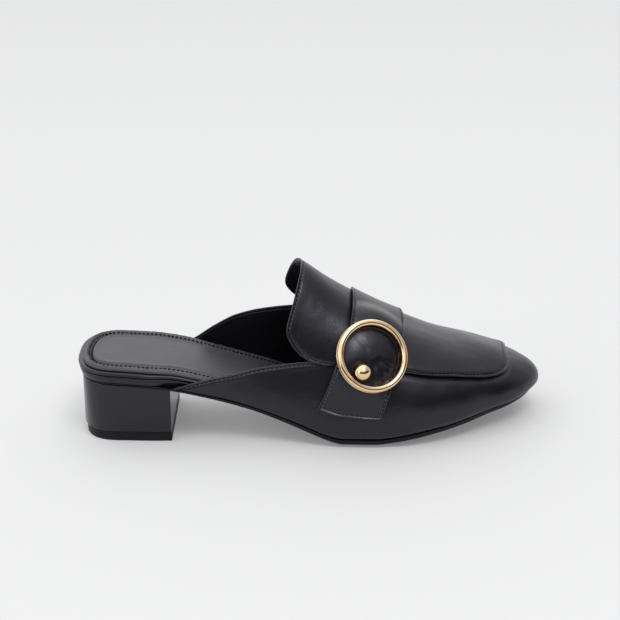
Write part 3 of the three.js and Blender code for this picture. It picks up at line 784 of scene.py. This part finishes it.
def make_insole_bead():
    turns = [math.radians(degrees) for degrees in spread(100, -100, 10)]

    def edge(station):
        half = board_layer(station.foot.x) / 2
        return [("bottom", 1 - math.cos(turn), half * (1 + math.sin(turn))) for turn in turns]

    piece = make_plate("insole_bead", FULL_RING, tuck_in, (board_bottom, board_bottom), edge, LEATHER)
    ride(piece, "leather", "insole_board")


# The sock: a padded sheet whose stitched line presses it down all round
SOCK_STITCH = 4.2
SOCK_SIDE_SPREAD = 0.4
SOCK_ROWS = (
    0, 0.06, 0.25, 0.6, 1.0, 1.4, 1.8, 2.2, 2.6, 3.0, 3.3, 3.6, 3.9, 4.2, 4.5, 4.8, 5.2, 5.7, 6.3, 7.0,
    8.0, 9.5,
)
# Relief of the sock at its stitches: height, place past the stitched line, and half width
SOCK_RELIEF = ((0.3, 1.5, 0.8), (-0.55, 0.0, 0.5))
SOCK_EDGE = 1.1 * SOCK_THICKNESS
SOCK_RIM_RISE = 0.15
SOCK_STRIP = 0.85
SOCK_STRIP_TOP = 0.9
SOCK_MIDDLE = 0.55
SOCK_MIDDLE_REACH = 1.4
# Small folds of its padded strip: height, dents per millimetre, and seed
SOCK_FOLDS = ((0.6, 0.5, 3.0), (0.3, 1.2, 9.0))
# Ripples along the strip round the back of the seat, and soft dents of the middle
RIPPLE_HEIGHT = 0.22
RIPPLE_RATE = 4.6
RIPPLE_BEND = 3
RIPPLE_CELLS = (0.09, 0.09, 0)
RIPPLE_FADE = (18, 46)
FIELD_HEIGHT = 0.14
FIELD_CELLS = (0.05, 0.08, 0)


def sock_height(distance):
    """Height of the sock's face over its underside at a distance from its edge."""
    rim = half_thickness(distance, SOCK_EDGE) + SOCK_RIM_RISE
    strip = smoothstep(distance, 0, SOCK_STRIP_TOP) * (1 - smoothstep(distance, SOCK_STRIP_TOP, SOCK_STITCH))
    middle = SOCK_MIDDLE * smoothstep(distance, SOCK_STITCH, SOCK_STITCH + SOCK_MIDDLE_REACH)
    relief = sum(height * bell(distance, SOCK_STITCH + past, width) for height, past, width in SOCK_RELIEF)
    return rim + SOCK_STRIP * strip + middle + relief


def sock_inset(station):
    return SOCK_INSET + tuck_in(station) * 0.5


def sock_spread(station):
    """Widening of the strip between the edge and the stitched line along the sides."""
    return 1 + SOCK_SIDE_SPREAD * abs(station.out.y)


def sock_crumple(point, distance):
    """Small folds and ripples of the strip between the edge and the stitched line."""
    strip = smoothstep(distance, 0.2, 1.4) * (1 - smoothstep(distance, SOCK_STITCH - 0.8, SOCK_STITCH))
    folds = sum(height * dent(point, (scale, scale, 0), seed) for height, scale, seed in SOCK_FOLDS)
    ripples = math.sin(distance * RIPPLE_RATE + RIPPLE_BEND * dent(point, RIPPLE_CELLS, 1.0))
    at_back = 1 - smoothstep(point.x, *RIPPLE_FADE)
    field = FIELD_HEIGHT * dent(point, FIELD_CELLS, 5.0) * smoothstep(distance, 5, 9)
    return (folds + RIPPLE_HEIGHT * at_back * ripples) * strip + field


def make_sock():
    def section(station):
        inset = sock_inset(station)
        rows = []
        for distance in SOCK_ROWS:
            rows.append((station.foot - station.out * (inset + distance * sock_spread(station)), distance))
        last, stitched = rows[-1]
        rest = station.apex - last
        for share in spread(0, 1, 8)[1:]:
            rows.append((last + rest * share, stitched + rest.length * share))
        top = []
        for point, distance in rows:
            level = sock_bottom(point.x) + sock_height(distance) + sock_crumple(point, distance)
            top.append(Vector((point.x, point.y, level)))
        under = [Vector((p.x, p.y, sock_bottom(p.x))) for p, _ in rows]
        return list(reversed(top)) + under

    piece = make_ringed("sock_padded", [section(station) for station in FULL_RING], SOCK_LEATHER)
    ride(piece, "lining", "sock")


HEEL_RING = ring_of_stations(toe=False, end=HEEL_BREAST)


def under_sole(x):
    return sole_bottom(x) - GAP


def make_heel_block():
    levels = (under_sole, lambda x: LIFT_THICKNESS + GAP)
    edge = rounded((0.5, 4), (0.3, 3))
    piece = make_plate("heel_cover", HEEL_RING, lambda station: HEEL_INSET, levels, edge, HEEL_LEATHER)
    ride(piece, "leather", "heel_block")


def make_top_lift():
    levels = (lambda x: LIFT_THICKNESS, lambda x: 0.0)
    edge = rounded((0.25, 3), (0.6, 4))
    piece = make_plate("heel_lift", HEEL_RING, lambda station: HEEL_INSET + LIFT_INSET, levels, edge, RUBBER)
    ride(piece, "sole_rubber", "top_lift")


def make_tread():
    toe_inset = PLAN["at"][TIP_ROW] * SHOE_LENGTH - TREAD_END - TREAD_INSET

    def inset(station):
        return TREAD_INSET + toe_inset * station.out.x ** 2

    stations = ring_of_stations(start=TREAD_START, seat=False)
    levels = (under_sole, lambda x: under_sole(x) - TREAD_THICKNESS)
    piece = make_plate("forepart_tread", stations, inset, levels, rounded((0.15, 2), (0.5, 4)), RUBBER)
    ride(piece, "sole_rubber", "tread")


# Upper
TOPLINE_STITCH = 1.7
UPPER_SEED = 2.0
LINING_GAP = 0.1
LEATHER_WALL = UPPER_WALL - LINING_WALL - LINING_GAP
# Climb by which the lining's edge stays under the leather's
LINING_DROP = 0.012


def upper_top(station, side):
    """Climb of the upper's top edge: the topline, then up the throat to the crest. Side 0 is the toe."""
    if side == 0:
        return 1.0
    z = topline_at[side](min(station.foot.x, THROAT_START)) * INSTEP_HEIGHT
    climb = climb_at_height(station, z)
    rise = min(max((station.foot.x - THROAT_START) / (THROAT_END - THROAT_START), 0.0), 1.0)
    return lerp(climb, 1.0, rise)


def upper_stations():
    """Stations of the upper round the toe, each with its side."""
    places = side_places(QUARTER_START, TOE_POLE, 1.5)
    stations = [(side_station(x, -1), -1) for x in places]
    stations += [(toe_station(turn), 0) for turn in spread(-90, 90, 90)[1:-1]]
    return stations + [(side_station(x, 1), 1) for x in reversed(places)]


UPPER_STATIONS = upper_stations()
UPPER_STEPS = 56


def upper_climbs(station, top):
    """Climbs of one section, closer together at the topline, with each row's distance from it."""
    samples = spread(-1, top, 40)
    lengths = run_lengths([last_point(station, climb, 0) for climb in samples])
    total = lengths[-1]
    shares = spread(0, 1, UPPER_STEPS - len(EDGE_ROWS))
    distances = [total - (total - EDGE_ROWS[-1]) * share for share in shares]
    distances += EDGE_ROWS[-2::-1]
    rows = []
    for distance in distances:
        along_it = total - distance
        k = min(max(bisect_right(lengths, along_it), 1), len(lengths) - 1)
        t = (along_it - lengths[k - 1]) / max(lengths[k] - lengths[k - 1], 1e-9)
        rows.append((lerp(samples[k - 1], samples[k], min(max(t, 0), 1)), distance))
    return rows


APRON_SINK = 0.75
SINK_REACH = 1.0
SINK_FADE = 3.2
SOLE_SINK = 0.5


def apron_climb(station):
    """Climb at which the apron's edge crosses a station."""
    if station.apex.x < TOE_POLE:
        side = -1 if station.foot.y < station.apex.y else 1
        return climb_at_reach(station, side_seam_at[side](station.foot.x))
    turn = math.degrees(math.atan2(station.foot.y - TOE_APEX.y, station.foot.x - TOE_APEX.x))
    return climb_at_reach(station, toe_seam_at(turn))


def upper_relief(station, quarter, climb, distance):
    """How deep the outer face of the upper lies at a place, from seams, the sole and soft dents."""
    edge = apron_climb(station)
    here = last_point(station, climb, 0)
    below = (here - last_point(station, edge, 0)).length if climb < edge else 0.0
    depth = APRON_SINK * (1 - smoothstep(below, SINK_REACH, SINK_FADE)) * covered_at(station.foot.x)
    if quarter and station.foot.x < THROAT_START + 2 * SINK_FADE:
        depth = stitch_groove(distance, TOPLINE_STITCH)
    depth += SOLE_SINK * smoothstep(-climb, 0.8, 1.0)
    return depth + unevenness(here, UPPER_SEED) * smoothstep(distance, 1.0, 6.0)


def make_upper():
    rows = [upper_climbs(station, upper_top(station, side)) for station, side in UPPER_STATIONS]

    def skin(i, j, side):
        climb, distance = rows[i][j]
        station, quarter = UPPER_STATIONS[i]
        half = half_thickness(distance, LEATHER_WALL)
        press = upper_relief(station, quarter, climb, distance) if side > 0 else 0.0
        return last_point(station, climb, LEATHER_WALL / 2 - side * half + press)

    def lining_skin(i, j, side):
        climb, distance = rows[i][j]
        half = half_thickness(distance, LINING_WALL)
        below = climb - LINING_DROP * (1 - smoothstep(distance, 0, 3))
        return last_point(UPPER_STATIONS[i][0], below, UPPER_WALL - LINING_WALL / 2 - side * half)

    steps = len(rows[0])
    leather = make_sheet("upper_leather", skin, len(rows), steps, LEATHER)
    lining = make_sheet("upper_lining", lining_skin, len(rows), steps, LINING)
    ride(leather, "leather", "upper")
    ride(lining, "lining")


# Apron and tongue: a patch between its four edges in plan, laid on the last
def tongue_edge(side, down):
    corner = max(0.0, down - 1 + CORNER_SHARE) / CORNER_SHARE
    rounding = TONGUE_CORNER * (1 - math.sqrt(1 - min(corner, 0.995) ** 2))
    return TONGUE_TOP - TONGUE_SWEEP * tongue_rear_at[side](down) + rounding


def tongue_station(side, down):
    station = side_station(tongue_edge(side, down), side)
    lowest = climb_at_reach(station, side_seam_at[side](station.foot.x))
    return station, lerp(1, lowest, down)


def seam_plan(station, reach):
    point = station.apex.lerp(station.wide, reach)
    point.z = 0
    return point


def toe_seam_plan(turn):
    return seam_plan(toe_station(turn), toe_seam_at(turn))


# Turns of the toe, in degrees, at which the apron's sides end and its front begins
TOE_CORNERS = (-30, 44)


def resample(points, shares):
    lengths = run_lengths(points)
    return [on_run(points, lengths, lengths[-1] * share) for share in shares]


def apron_borders():
    """Rear, front, outer and inner edge of the apron in plan."""
    rear = [last_point(*tongue_station(-1, down), 0) for down in spread(1, 0, 60)]
    rear += [last_point(*tongue_station(1, down), 0) for down in spread(0, 1, 60)[1:]]
    sides = {}
    for side, corner in zip((-1, 1), TOE_CORNERS):
        places = side_places(tongue_edge(side, 1), TOE_POLE)
        run = [seam_plan(side_station(x, side), side_seam_at[side](x)) for x in places]
        sides[side] = run + [toe_seam_plan(turn) for turn in spread(90 * side, corner, 40)[1:]]
    front = [toe_seam_plan(turn) for turn in spread(*TOE_CORNERS, 60)]
    for run in (rear, front, *sides.values()):
        for point in run:
            point.z = 0
    return rear, front, sides[-1], sides[1]


def apron_ring(steps):
    """The apron's whole edge in plan, in even steps."""
    rear, front, outer, inner = apron_borders()
    return resample(outer + front[1:] + inner[::-1][1:] + rear[::-1][1:], spread(0, 1, steps))


def locate(point):
    """Station and climb of the last's surface over a point of the plan."""
    if point.x <= TOE_POLE:
        side = -1 if point.y < spine_at(point.x) else 1
        station = side_station(point.x, side)
    else:
        turn = math.degrees(math.atan2(point.y - TOE_APEX.y, point.x - TOE_APEX.x))
        station = toe_station(turn)
    reach = (point - station.apex).length / (station.wide - station.apex).xy.length
    return station, climb_at_reach(station, reach)


APRON_LENGTH = 118.0
APRON_WIDTH = 70.0
APRON_STITCH = 1.5
APRON_SEED = 8.0


def on_apron(station, climb, lift=0.0):
    """Point over the last at the middle of the apron's thickness."""
    return last_point(station, climb, -GAP - APRON_THICKNESS / 2 - lift)


def make_apron():
    rear, front, outer, inner = apron_borders()
    us = [d / APRON_LENGTH for d in rows_between(APRON_LENGTH, 1.3)]
    vs = [d / APRON_WIDTH for d in rows_between(APRON_WIDTH, 1.0)]
    rear_points, front_points = resample(rear, vs), resample(front, vs)
    outer_points, inner_points = resample(outer, us), resample(inner, us)
    edge = EdgeLine([on_apron(*locate(point)) for point in apron_ring(1200)[:-1]])

    def plan(i, j):
        u, v = us[i], vs[j]
        across = outer_points[i].lerp(inner_points[i], v)
        lengthwise = rear_points[j].lerp(front_points[j], u)
        rear_corner = rear_points[0].lerp(rear_points[-1], v)
        return across + lengthwise - rear_corner.lerp(front_points[0].lerp(front_points[-1], v), u)

    places = []
    for i in range(len(us)):
        for j in range(len(vs)):
            station, climb = locate(plan(i, j))
            middle = on_apron(station, climb)
            on_border = i in (0, len(us) - 1) or j in (0, len(vs) - 1)
            distance = 0.0 if on_border else edge.distance(middle)
            press = stitch_groove(distance, APRON_STITCH)
            press += unevenness(middle, APRON_SEED) * smoothstep(distance, 1, 8)
            places.append((station, climb, half_thickness(distance, APRON_THICKNESS), press))

    def skin(i, j, side):
        station, climb, half, press = places[i * len(vs) + j]
        return on_apron(station, climb, side * half - (press if side > 0 else 0.0))

    piece = make_sheet("apron_leather", skin, len(us), len(vs), LEATHER)
    ride(piece, "leather", "apron_tongue")


# Strap and buckle
def strap_point(down, across, lift):
    side = -1 if down < 0 else 1
    drop = abs(down)
    x = lerp(strap_rear_at(drop), strap_front_at(drop), across) * SHOE_LENGTH
    station = side_station(x, side)
    climb = 1 - drop * STRAP_DROP
    edge = climb_at_reach(station, side_seam_at[side](x))
    over = smoothstep(climb, edge - SEAM_STEP - SEAM_MARGIN, edge - SEAM_MARGIN)
    return last_point(station, climb, -GAP - (APRON_THICKNESS + GAP) * over - lift)


def buckle_frame():
    def on_strap(down, across):
        return strap_point(down, across, STRAP_THICKNESS)

    forward = on_strap(BUCKLE_DOWN, BUCKLE_ACROSS + 0.2) - on_strap(BUCKLE_DOWN, BUCKLE_ACROSS - 0.2)
    upward = on_strap(BUCKLE_DOWN + 0.08, BUCKLE_ACROSS) - on_strap(BUCKLE_DOWN - 0.08, BUCKLE_ACROSS)
    normal = forward.cross(upward).normalized()
    forward.normalize()
    centre = on_strap(BUCKLE_DOWN, BUCKLE_ACROSS) + normal * RING_SEAT
    downward = forward.cross(normal)
    axes = Matrix((forward, normal, downward)).transposed().to_4x4()
    axes.translation = centre
    return axes @ Matrix.Rotation(-BUCKLE_LEAN, 4, "Z") @ Matrix.Rotation(BUCKLE_DROP, 4, "X")


BUCKLE = buckle_frame()
BUCKLE_INVERSE = BUCKLE.inverted()
RING_INNER = RING_RADIUS - RING_WIDTH / 2
RING_OUTER = RING_RADIUS + RING_WIDTH / 2


# Valleys of the leather inside the ring: way they run in degrees, depth and half width
PAD_VALLEYS = ((-8, 0.5, 1.5), (-38, 0.6, 1.7), (-64, 0.45, 1.6), (150, 0.25, 1.6))
PAD_DIMPLE = 1.7
PAD_BORDER = 2.0
PAD_UNDER = 1.6
PAD_CLEAR = 0.12
PAD_TURN = 0.7
PAD_DEPTH = 1.9
DIMPLE_REACH = 5.5
BALL_AWAY = RING_INNER - BALL_RADIUS - GAP
BALL_PLACE = (BALL_AWAY * math.cos(BALL_TURN), BALL_AWAY * math.sin(BALL_TURN))


def pad_height(across, down):
    """Height of the padded leather over the ring's seat."""
    radius = math.hypot(across, down)
    height = PAD_RISE * max(0.0, 1 - (radius / RING_INNER) ** 3)
    for turn, depth, width in PAD_VALLEYS:
        way = (math.cos(math.radians(turn)), -math.sin(math.radians(turn)))
        forth = across * way[0] + down * way[1]
        aside = across * way[1] - down * way[0]
        height -= depth * bell(aside, 0, width) * smoothstep(forth, 1.0, 6.0)
    from_ball = math.hypot(across - BALL_PLACE[0], down - BALL_PLACE[1])
    return height - PAD_DIMPLE * bell(from_ball, 0, DIMPLE_REACH) - GAP


def padding(point):
    """Swelling of the strap that carries the ring, and stays under the pad inside it."""
    local = BUCKLE_INVERSE @ point
    radius = math.hypot(local.x, local.z)
    inside = 1 - smoothstep(radius, RING_INNER - PAD_BORDER, RING_INNER)
    wanted = max(0.0, -PAD_UNDER * inside - local.y)
    beside = 1 - smoothstep(radius, RING_INNER - PAD_START, RING_OUTER + PAD_FADE)
    return wanted * beside * smoothstep(local.y, -2 * PAD_FADE, -PAD_FADE)


def make_ring_pad():
    """Padded leather that fills the ring, tucked down at its rim."""
    rim = RING_INNER - PAD_CLEAR
    flat = rim - PAD_TURN
    # Loops from the middle out: radius, radius at which the height is read, and drop
    loops = [(radius, radius, 0.0) for radius in [0.0] + spread(rim / 36, flat, 34)]
    for turn in spread(0, math.pi / 2, 6)[1:]:
        loops.append((flat + PAD_TURN * math.sin(turn), flat, PAD_TURN * (1 - math.cos(turn))))
    sections = []
    for turn in around(96):
        across, down = math.cos(turn), math.sin(turn)
        rows = [(radius, pad_height(across * at, down * at) - drop) for radius, at, drop in loops]
        rows += [(rim, -PAD_DEPTH), (0, -PAD_DEPTH)]
        sections.append([BUCKLE @ Vector((across * r, height, down * r)) for r, height in rows])
    ride(make_ringed("ring_pad", sections, LEATHER), "leather", "strap")


STRAP_LENGTH = 150.0
STRAP_WIDTH = 28.0
STRAP_STITCH = 1.4
STRAP_UNEVEN = 0.7
STRAP_SEED = 15.0


def strap_edge(down, across):
    """Distance from the strap's nearest edge."""
    return min((1 - abs(down)) * STRAP_LENGTH / 2, across * STRAP_WIDTH, (1 - across) * STRAP_WIDTH)


def strap_swell(down, across):
    """Height of the padding and the dents over the strap's even face."""
    flat = strap_point(down, across, STRAP_THICKNESS)
    dents = STRAP_UNEVEN * unevenness(flat, STRAP_SEED) * smoothstep(strap_edge(down, across), 1, 6)
    return padding(flat) - dents


def strap_at(down, across):
    return strap_point(down, across, STRAP_THICKNESS + strap_swell(down, across))


def make_strap():
    downs = [lerp(-1, 1, d / STRAP_LENGTH) for d in rows_between(STRAP_LENGTH, 1.0)]
    acrosses = [d / STRAP_WIDTH for d in rows_between(STRAP_WIDTH, 0.7)]

    def skin(i, j, side):
        down, across = downs[i], acrosses[j]
        distance = strap_edge(down, across)
        half = half_thickness(distance, STRAP_THICKNESS)
        if side < 0:
            return strap_point(down, across, STRAP_THICKNESS / 2 - half)
        swell = strap_swell(down, across) - stitch_groove(distance, STRAP_STITCH)
        return strap_point(down, across, STRAP_THICKNESS / 2 + half + swell)

    piece = make_sheet("strap_leather", skin, len(downs), len(acrosses), LEATHER)
    ride(piece, "leather", "strap")


def make_round(name, profile, segments, offset):
    """Metal turned about the buckle's axis from a closed profile of (radius, height)."""
    sections = []
    for turn in around(segments):
        across, down = math.sin(turn), math.cos(turn)
        spots = [Vector((across * radius, height, down * radius)) for radius, height in profile]
        sections.append([BUCKLE @ (spot + offset) for spot in spots])
    return make_ringed(name, sections, GOLD, 50)


# Rounding of the flange: distance in from the outer edge, and distance from its under or upper face
FLANGE_UNDER = ((0.3, 0), (0.08, 0.08), (0, 0.3))
FLANGE_OVER = ((0, 0.35), (0.12, 0.1), (RING_GROOVE, 0))
# Half height of the ring's bead, as a share of its height over the flange
BEAD_HALF = 0.6


def make_ring():
    bead = BEAD_HALF * (RING_HEIGHT - FLANGE_HEIGHT)
    profile = [(RING_INNER + RING_GROOVE, 0)]
    profile += [(RING_OUTER - inset, height) for inset, height in FLANGE_UNDER]
    profile += [(RING_OUTER - inset, FLANGE_HEIGHT - depth) for inset, depth in FLANGE_OVER]
    for degrees in spread(-10, 190, 20):
        turn = math.radians(degrees)
        radius = RING_RADIUS + RING_WIDTH / 2 * math.cos(turn)
        profile.append((radius, RING_HEIGHT - bead * (1 - math.sin(turn))))
    profile += [(RING_INNER + RING_GROOVE, FLANGE_HEIGHT), profile[0]]
    ride(make_round("gold_ring", profile, 128, Vector()), "buckle_metal", "buckle_ring")


def make_ball():
    profile = [(0, 0), (POST_RADIUS, 0)]
    for turn in spread(math.asin(POST_RADIUS / BALL_RADIUS), math.pi, 30)[:-1]:
        profile.append((BALL_RADIUS * math.sin(turn), BALL_RISE - BALL_RADIUS * math.cos(turn)))
    profile.append((0, BALL_RISE + BALL_RADIUS))
    across, down = BALL_PLACE
    piece = make_round("gold_ball", profile, 48, Vector((across, BALL_FOOT, down)))
    ride(piece, "buckle_metal", "buckle_ball")


# Stitching
STITCH_PITCH = 2.3
STITCH_LENGTH = 1.75
STITCH_RADIUS = 0.3
STITCH_SINK = STITCH_PRESS - 0.55 * STITCH_RADIUS
STITCH_RINGS = ((-0.5, 0.25), (-0.42, 0.8), (-0.2, 1.0), (0.2, 1.0), (0.42, 0.8), (0.5, 0.25))
STITCH_SIDES = 6
# Drop of a thread's ends in its radii, and the step along the path that gives its way
STITCH_DIP = 2.4
STITCH_STEP = 0.6
# Height of a point inside the foot, which normals of the stitched faces turn away from
FOOT_MIDDLE = 25.0
CLIMB_STEP = 0.02
SOCK_STITCH_RADIUS = 0.42
SOCK_STITCH_RISE = 0.3
SOCK_ROW_GAP = 1.2


def stitch_mesh(centre, forward, normal, thick, points, faces):
    """Adds one stitch, a short thread that dips at its ends."""
    sideways = forward.cross(normal).normalized()
    start = len(points)
    for reach, width in STITCH_RINGS:
        middle = centre + forward * reach * STITCH_LENGTH - normal * thick * STITCH_DIP * (2 * reach) ** 4
        for turn in around(STITCH_SIDES):
            arm = sideways * math.cos(turn) + normal * math.sin(turn)
            points.append(middle + arm * thick * width)
    rings = len(STITCH_RINGS)
    for ring in range(rings - 1):
        for k in range(STITCH_SIDES):
            a = start + ring * STITCH_SIDES + k
            b = start + ring * STITCH_SIDES + (k + 1) % STITCH_SIDES
            faces.append((a, b, b + STITCH_SIDES, a + STITCH_SIDES))
    faces.append(tuple(range(start, start + STITCH_SIDES))[::-1])
    end = start + (rings - 1) * STITCH_SIDES
    faces.append(tuple(range(end, end + STITCH_SIDES)))


def make_stitches(name, path, slot="leather", material=THREAD, thick=STITCH_RADIUS):
    """Row of stitches on a path, which is a fine list of (point, outward normal)."""
    spots, normals = zip(*path)
    lengths = run_lengths(spots)
    count = int(lengths[-1] / STITCH_PITCH)
    points, faces = [], []
    for k in range(count):
        here = (k + 0.5) * lengths[-1] / count
        centre = on_run(spots, lengths, here)
        ahead = on_run(spots, lengths, min(here + STITCH_STEP, lengths[-1]))
        behind = on_run(spots, lengths, max(here - STITCH_STEP, 0.0))
        normal = on_run(normals, lengths, here).normalized()
        forward = (ahead - behind).normalized()
        stitch_mesh(centre - normal * STITCH_SINK, forward, normal, thick, points, faces)
    ride(make_object(name, points, faces, material), slot)


def normal_path(places, at):
    """Path over places, with the normal from at(place, a, b), turned away from the foot's middle."""
    path = []
    for place in places:
        here = at(place, 0, 0)
        normal = (at(place, 1, 0) - here).cross(at(place, 0, 1) - here).normalized()
        middle = Vector((here.x, spine_at(here.x), FOOT_MIDDLE))
        if normal.dot(here - middle) < 0:
            normal = -normal
        path.append((here, normal))
    return path


def stitch_topline():
    places = spread(QUARTER_START + 2, THROAT_START - 4, 120)
    for side, name in ((-1, "stitches_topline_outer"), (1, "stitches_topline_inner")):

        def at(x, a, b, side=side):
            station = side_station(x + a, side)
            top = upper_top(station, side)
            here = last_point(station, top, 0)
            climb_length = (last_point(station, top - CLIMB_STEP, 0) - here).length / CLIMB_STEP
            return last_point(station, top - (TOPLINE_STITCH + b) / climb_length, 0)

        make_stitches(name, normal_path(places, at))


def inset_path(points, inset):
    """Plan points moved sideways by inset, to the left of the way along."""
    moved = []
    for k, point in enumerate(points):
        ahead = points[min(k + 1, len(points) - 1)]
        behind = points[max(k - 1, 0)]
        way = (ahead - behind).normalized()
        moved.append(point + Vector((-way.y, way.x, 0)) * inset)
    return moved


def stitch_apron():
    def at(point, a, b):
        moved = point + Vector((a * 0.5, b * 0.5, 0))
        return last_point(*locate(moved), -GAP - APRON_THICKNESS)

    make_stitches("stitches_apron", normal_path(inset_path(apron_ring(900), APRON_STITCH), at))


def stitch_strap():
    inset = STRAP_STITCH / STRAP_WIDTH
    end = 1 - STRAP_STITCH * 2 / STRAP_LENGTH

    def at(place, a, b):
        down, across = place
        return strap_at(down + a * 0.01, across + b * 0.02)

    rear = [(down, inset) for down in spread(-end, end, 260)]
    front = [(down, 1 - inset) for down in spread(-end, end, 260)]
    outer, inner = [[(side * end, across) for across in spread(inset, 1 - inset, 60)] for side in (-1, 1)]
    for place, run in (("rear", rear), ("front", front), ("end_outer", outer), ("end_inner", inner)):
        make_stitches(f"stitches_strap_{place}", normal_path(run, at))


def stitch_sock():
    ring = FULL_RING + FULL_RING[:1]
    for name, inset in (("inner", SOCK_STITCH), ("outer", SOCK_STITCH - SOCK_ROW_GAP)):
        path = []
        for station in ring:
            point = station.foot - station.out * (sock_inset(station) + inset * sock_spread(station))
            point.z = sock_bottom(point.x) + sock_height(inset) + STITCH_SINK + SOCK_STITCH_RISE
            path.append((point, Vector((0, 0, 1))))
        make_stitches(f"stitches_sock_{name}", path, "lining", DARK_THREAD, SOCK_STITCH_RADIUS)


# Camera, light and floor
CAMERA_AT = Vector((125.27, -762.17, 375.52))
CAMERA_PITCH = math.radians(22.2)
CAMERA_LENS = 90
CAMERA_SENSOR = 36
FLOOR_SIZE = 6.0
FLOOR_GREY = (0.49, 0.49, 0.49)
FLOOR_GLOW = 0.17


def make_camera():
    data = bpy.data.cameras.new("camera")
    data.lens = CAMERA_LENS
    data.sensor_width = CAMERA_SENSOR
    camera = add_object("camera", data)
    camera.location = metres(CAMERA_AT)
    camera.rotation_euler = (math.pi / 2 - CAMERA_PITCH, 0, 0)
    bpy.context.scene.camera = camera


def make_floor():
    half = FLOOR_SIZE / 2
    mesh = bpy.data.meshes.new("floor")
    corners = [(-half, -half, 0), (half, -half, 0), (half, half, 0), (-half, half, 0)]
    mesh.from_pydata(corners, [], [(0, 1, 2, 3)])
    material, shader = new_material("floor_matte", FLOOR_GREY, 0.9)
    shader.inputs["Emission Color"].default_value = (1, 1, 1, 1)
    shader.inputs["Emission Strength"].default_value = FLOOR_GLOW
    mesh.materials.append(material)
    floor = add_object("floor", mesh)


# Brightness of the studio by the sine of the elevation: dark low in front of the object, a white
# backdrop behind it and soft boxes overhead
SKY_FRONT = (
    (0.0, 0.06), (0.2, 0.07), (0.32, 0.1), (0.42, 0.3), (0.54, 0.9), (0.7, 1.0), (0.85, 1.05), (1.0, 1.25),
)
SKY_BACK = ((0.0, 1.0), (0.3, 1.12), (0.5, 1.22), (0.65, 1.2), (0.8, 1.25), (0.92, 1.3), (1.0, 1.25))
SKY_TINT = (0.985, 0.99, 1.0, 1)
# Ranges of a direction's y and x, and the values at their ends: the turn from the front of the
# studio to its back, and the strength, which falls towards the toe
SKY_TURN = (-0.35, 0.35, 0.0, 1.0)
SKY_AHEAD = (0.2, 0.65, 1.22, 0.55)


def sky_curve(tree, rows):
    node = tree.nodes.new("ShaderNodeFloatCurve")
    mapping = node.mapping
    mapping.clip_max_y = 4
    mapping.extend = "HORIZONTAL"
    track = mapping.curves[0]
    for point, place in zip(track.points, (rows[0], rows[-1])):
        point.location = place
    for place in rows[1:-1]:
        track.points.new(*place)
    mapping.update()
    return node


def sky_range(tree, source, limits, smooth):
    node = tree.nodes.new("ShaderNodeMapRange")
    node.interpolation_type = smooth
    for name, value in zip(("From Min", "From Max", "To Min", "To Max"), limits):
        node.inputs[name].default_value = value
    tree.links.new(source, node.inputs["Value"])
    return node.outputs["Result"]


def make_sky():
    world = bpy.data.worlds.new("studio")
    world.use_nodes = True
    tree = world.node_tree
    coordinates = tree.nodes.new("ShaderNodeTexCoord")
    split = tree.nodes.new("ShaderNodeSeparateXYZ")
    tree.links.new(coordinates.outputs["Generated"], split.inputs["Vector"])
    turn = sky_range(tree, split.outputs["Y"], SKY_TURN, "SMOOTHSTEP")
    ahead = sky_range(tree, split.outputs["X"], SKY_AHEAD, "LINEAR")
    mix = tree.nodes.new("ShaderNodeMix")
    tree.links.new(turn, mix.inputs["Factor"])
    for rows, socket in ((SKY_FRONT, "A"), (SKY_BACK, "B")):
        node = sky_curve(tree, rows)
        tree.links.new(split.outputs["Z"], node.inputs["Value"])
        tree.links.new(node.outputs["Value"], mix.inputs[socket])
    dim = tree.nodes.new("ShaderNodeMath")
    dim.operation = "MULTIPLY"
    tree.links.new(mix.outputs["Result"], dim.inputs[0])
    tree.links.new(ahead, dim.inputs[1])
    background = tree.nodes["Background"].inputs
    tree.links.new(dim.outputs["Value"], background["Strength"])
    background["Color"].default_value = SKY_TINT
    bpy.context.scene.world = world


LIGHT_AIM = Vector((0.0, 0.0, 0.03))
LIGHTS = (
    # name, place, size, power in watts
    ("key", (0.45, -0.95, 2.0), 0.8, 16.0),
    ("fill", (-1.9, -1.1, 0.75), 1.2, 9.0),
)


def make_lights():
    for name, place, size, power in LIGHTS:
        data = bpy.data.lights.new(name, "AREA")
        data.shape = "SQUARE"
        data.size = size
        data.energy = power
        light = add_object(name, data)
        light.location = place
        light.rotation_euler = (LIGHT_AIM - light.location).to_track_quat("-Z", "Y").to_euler()


make_camera()
make_floor()
make_sky()
make_lights()
bpy.context.scene.view_settings.view_transform = "Standard"

make_outsole()
make_midsole()
make_insole_bead()
make_sock()
make_heel_block()
make_top_lift()
make_tread()
make_upper()
make_apron()
make_strap()
make_ring_pad()
make_ring()
make_ball()
stitch_topline()
stitch_apron()
stitch_strap()
stitch_sock()
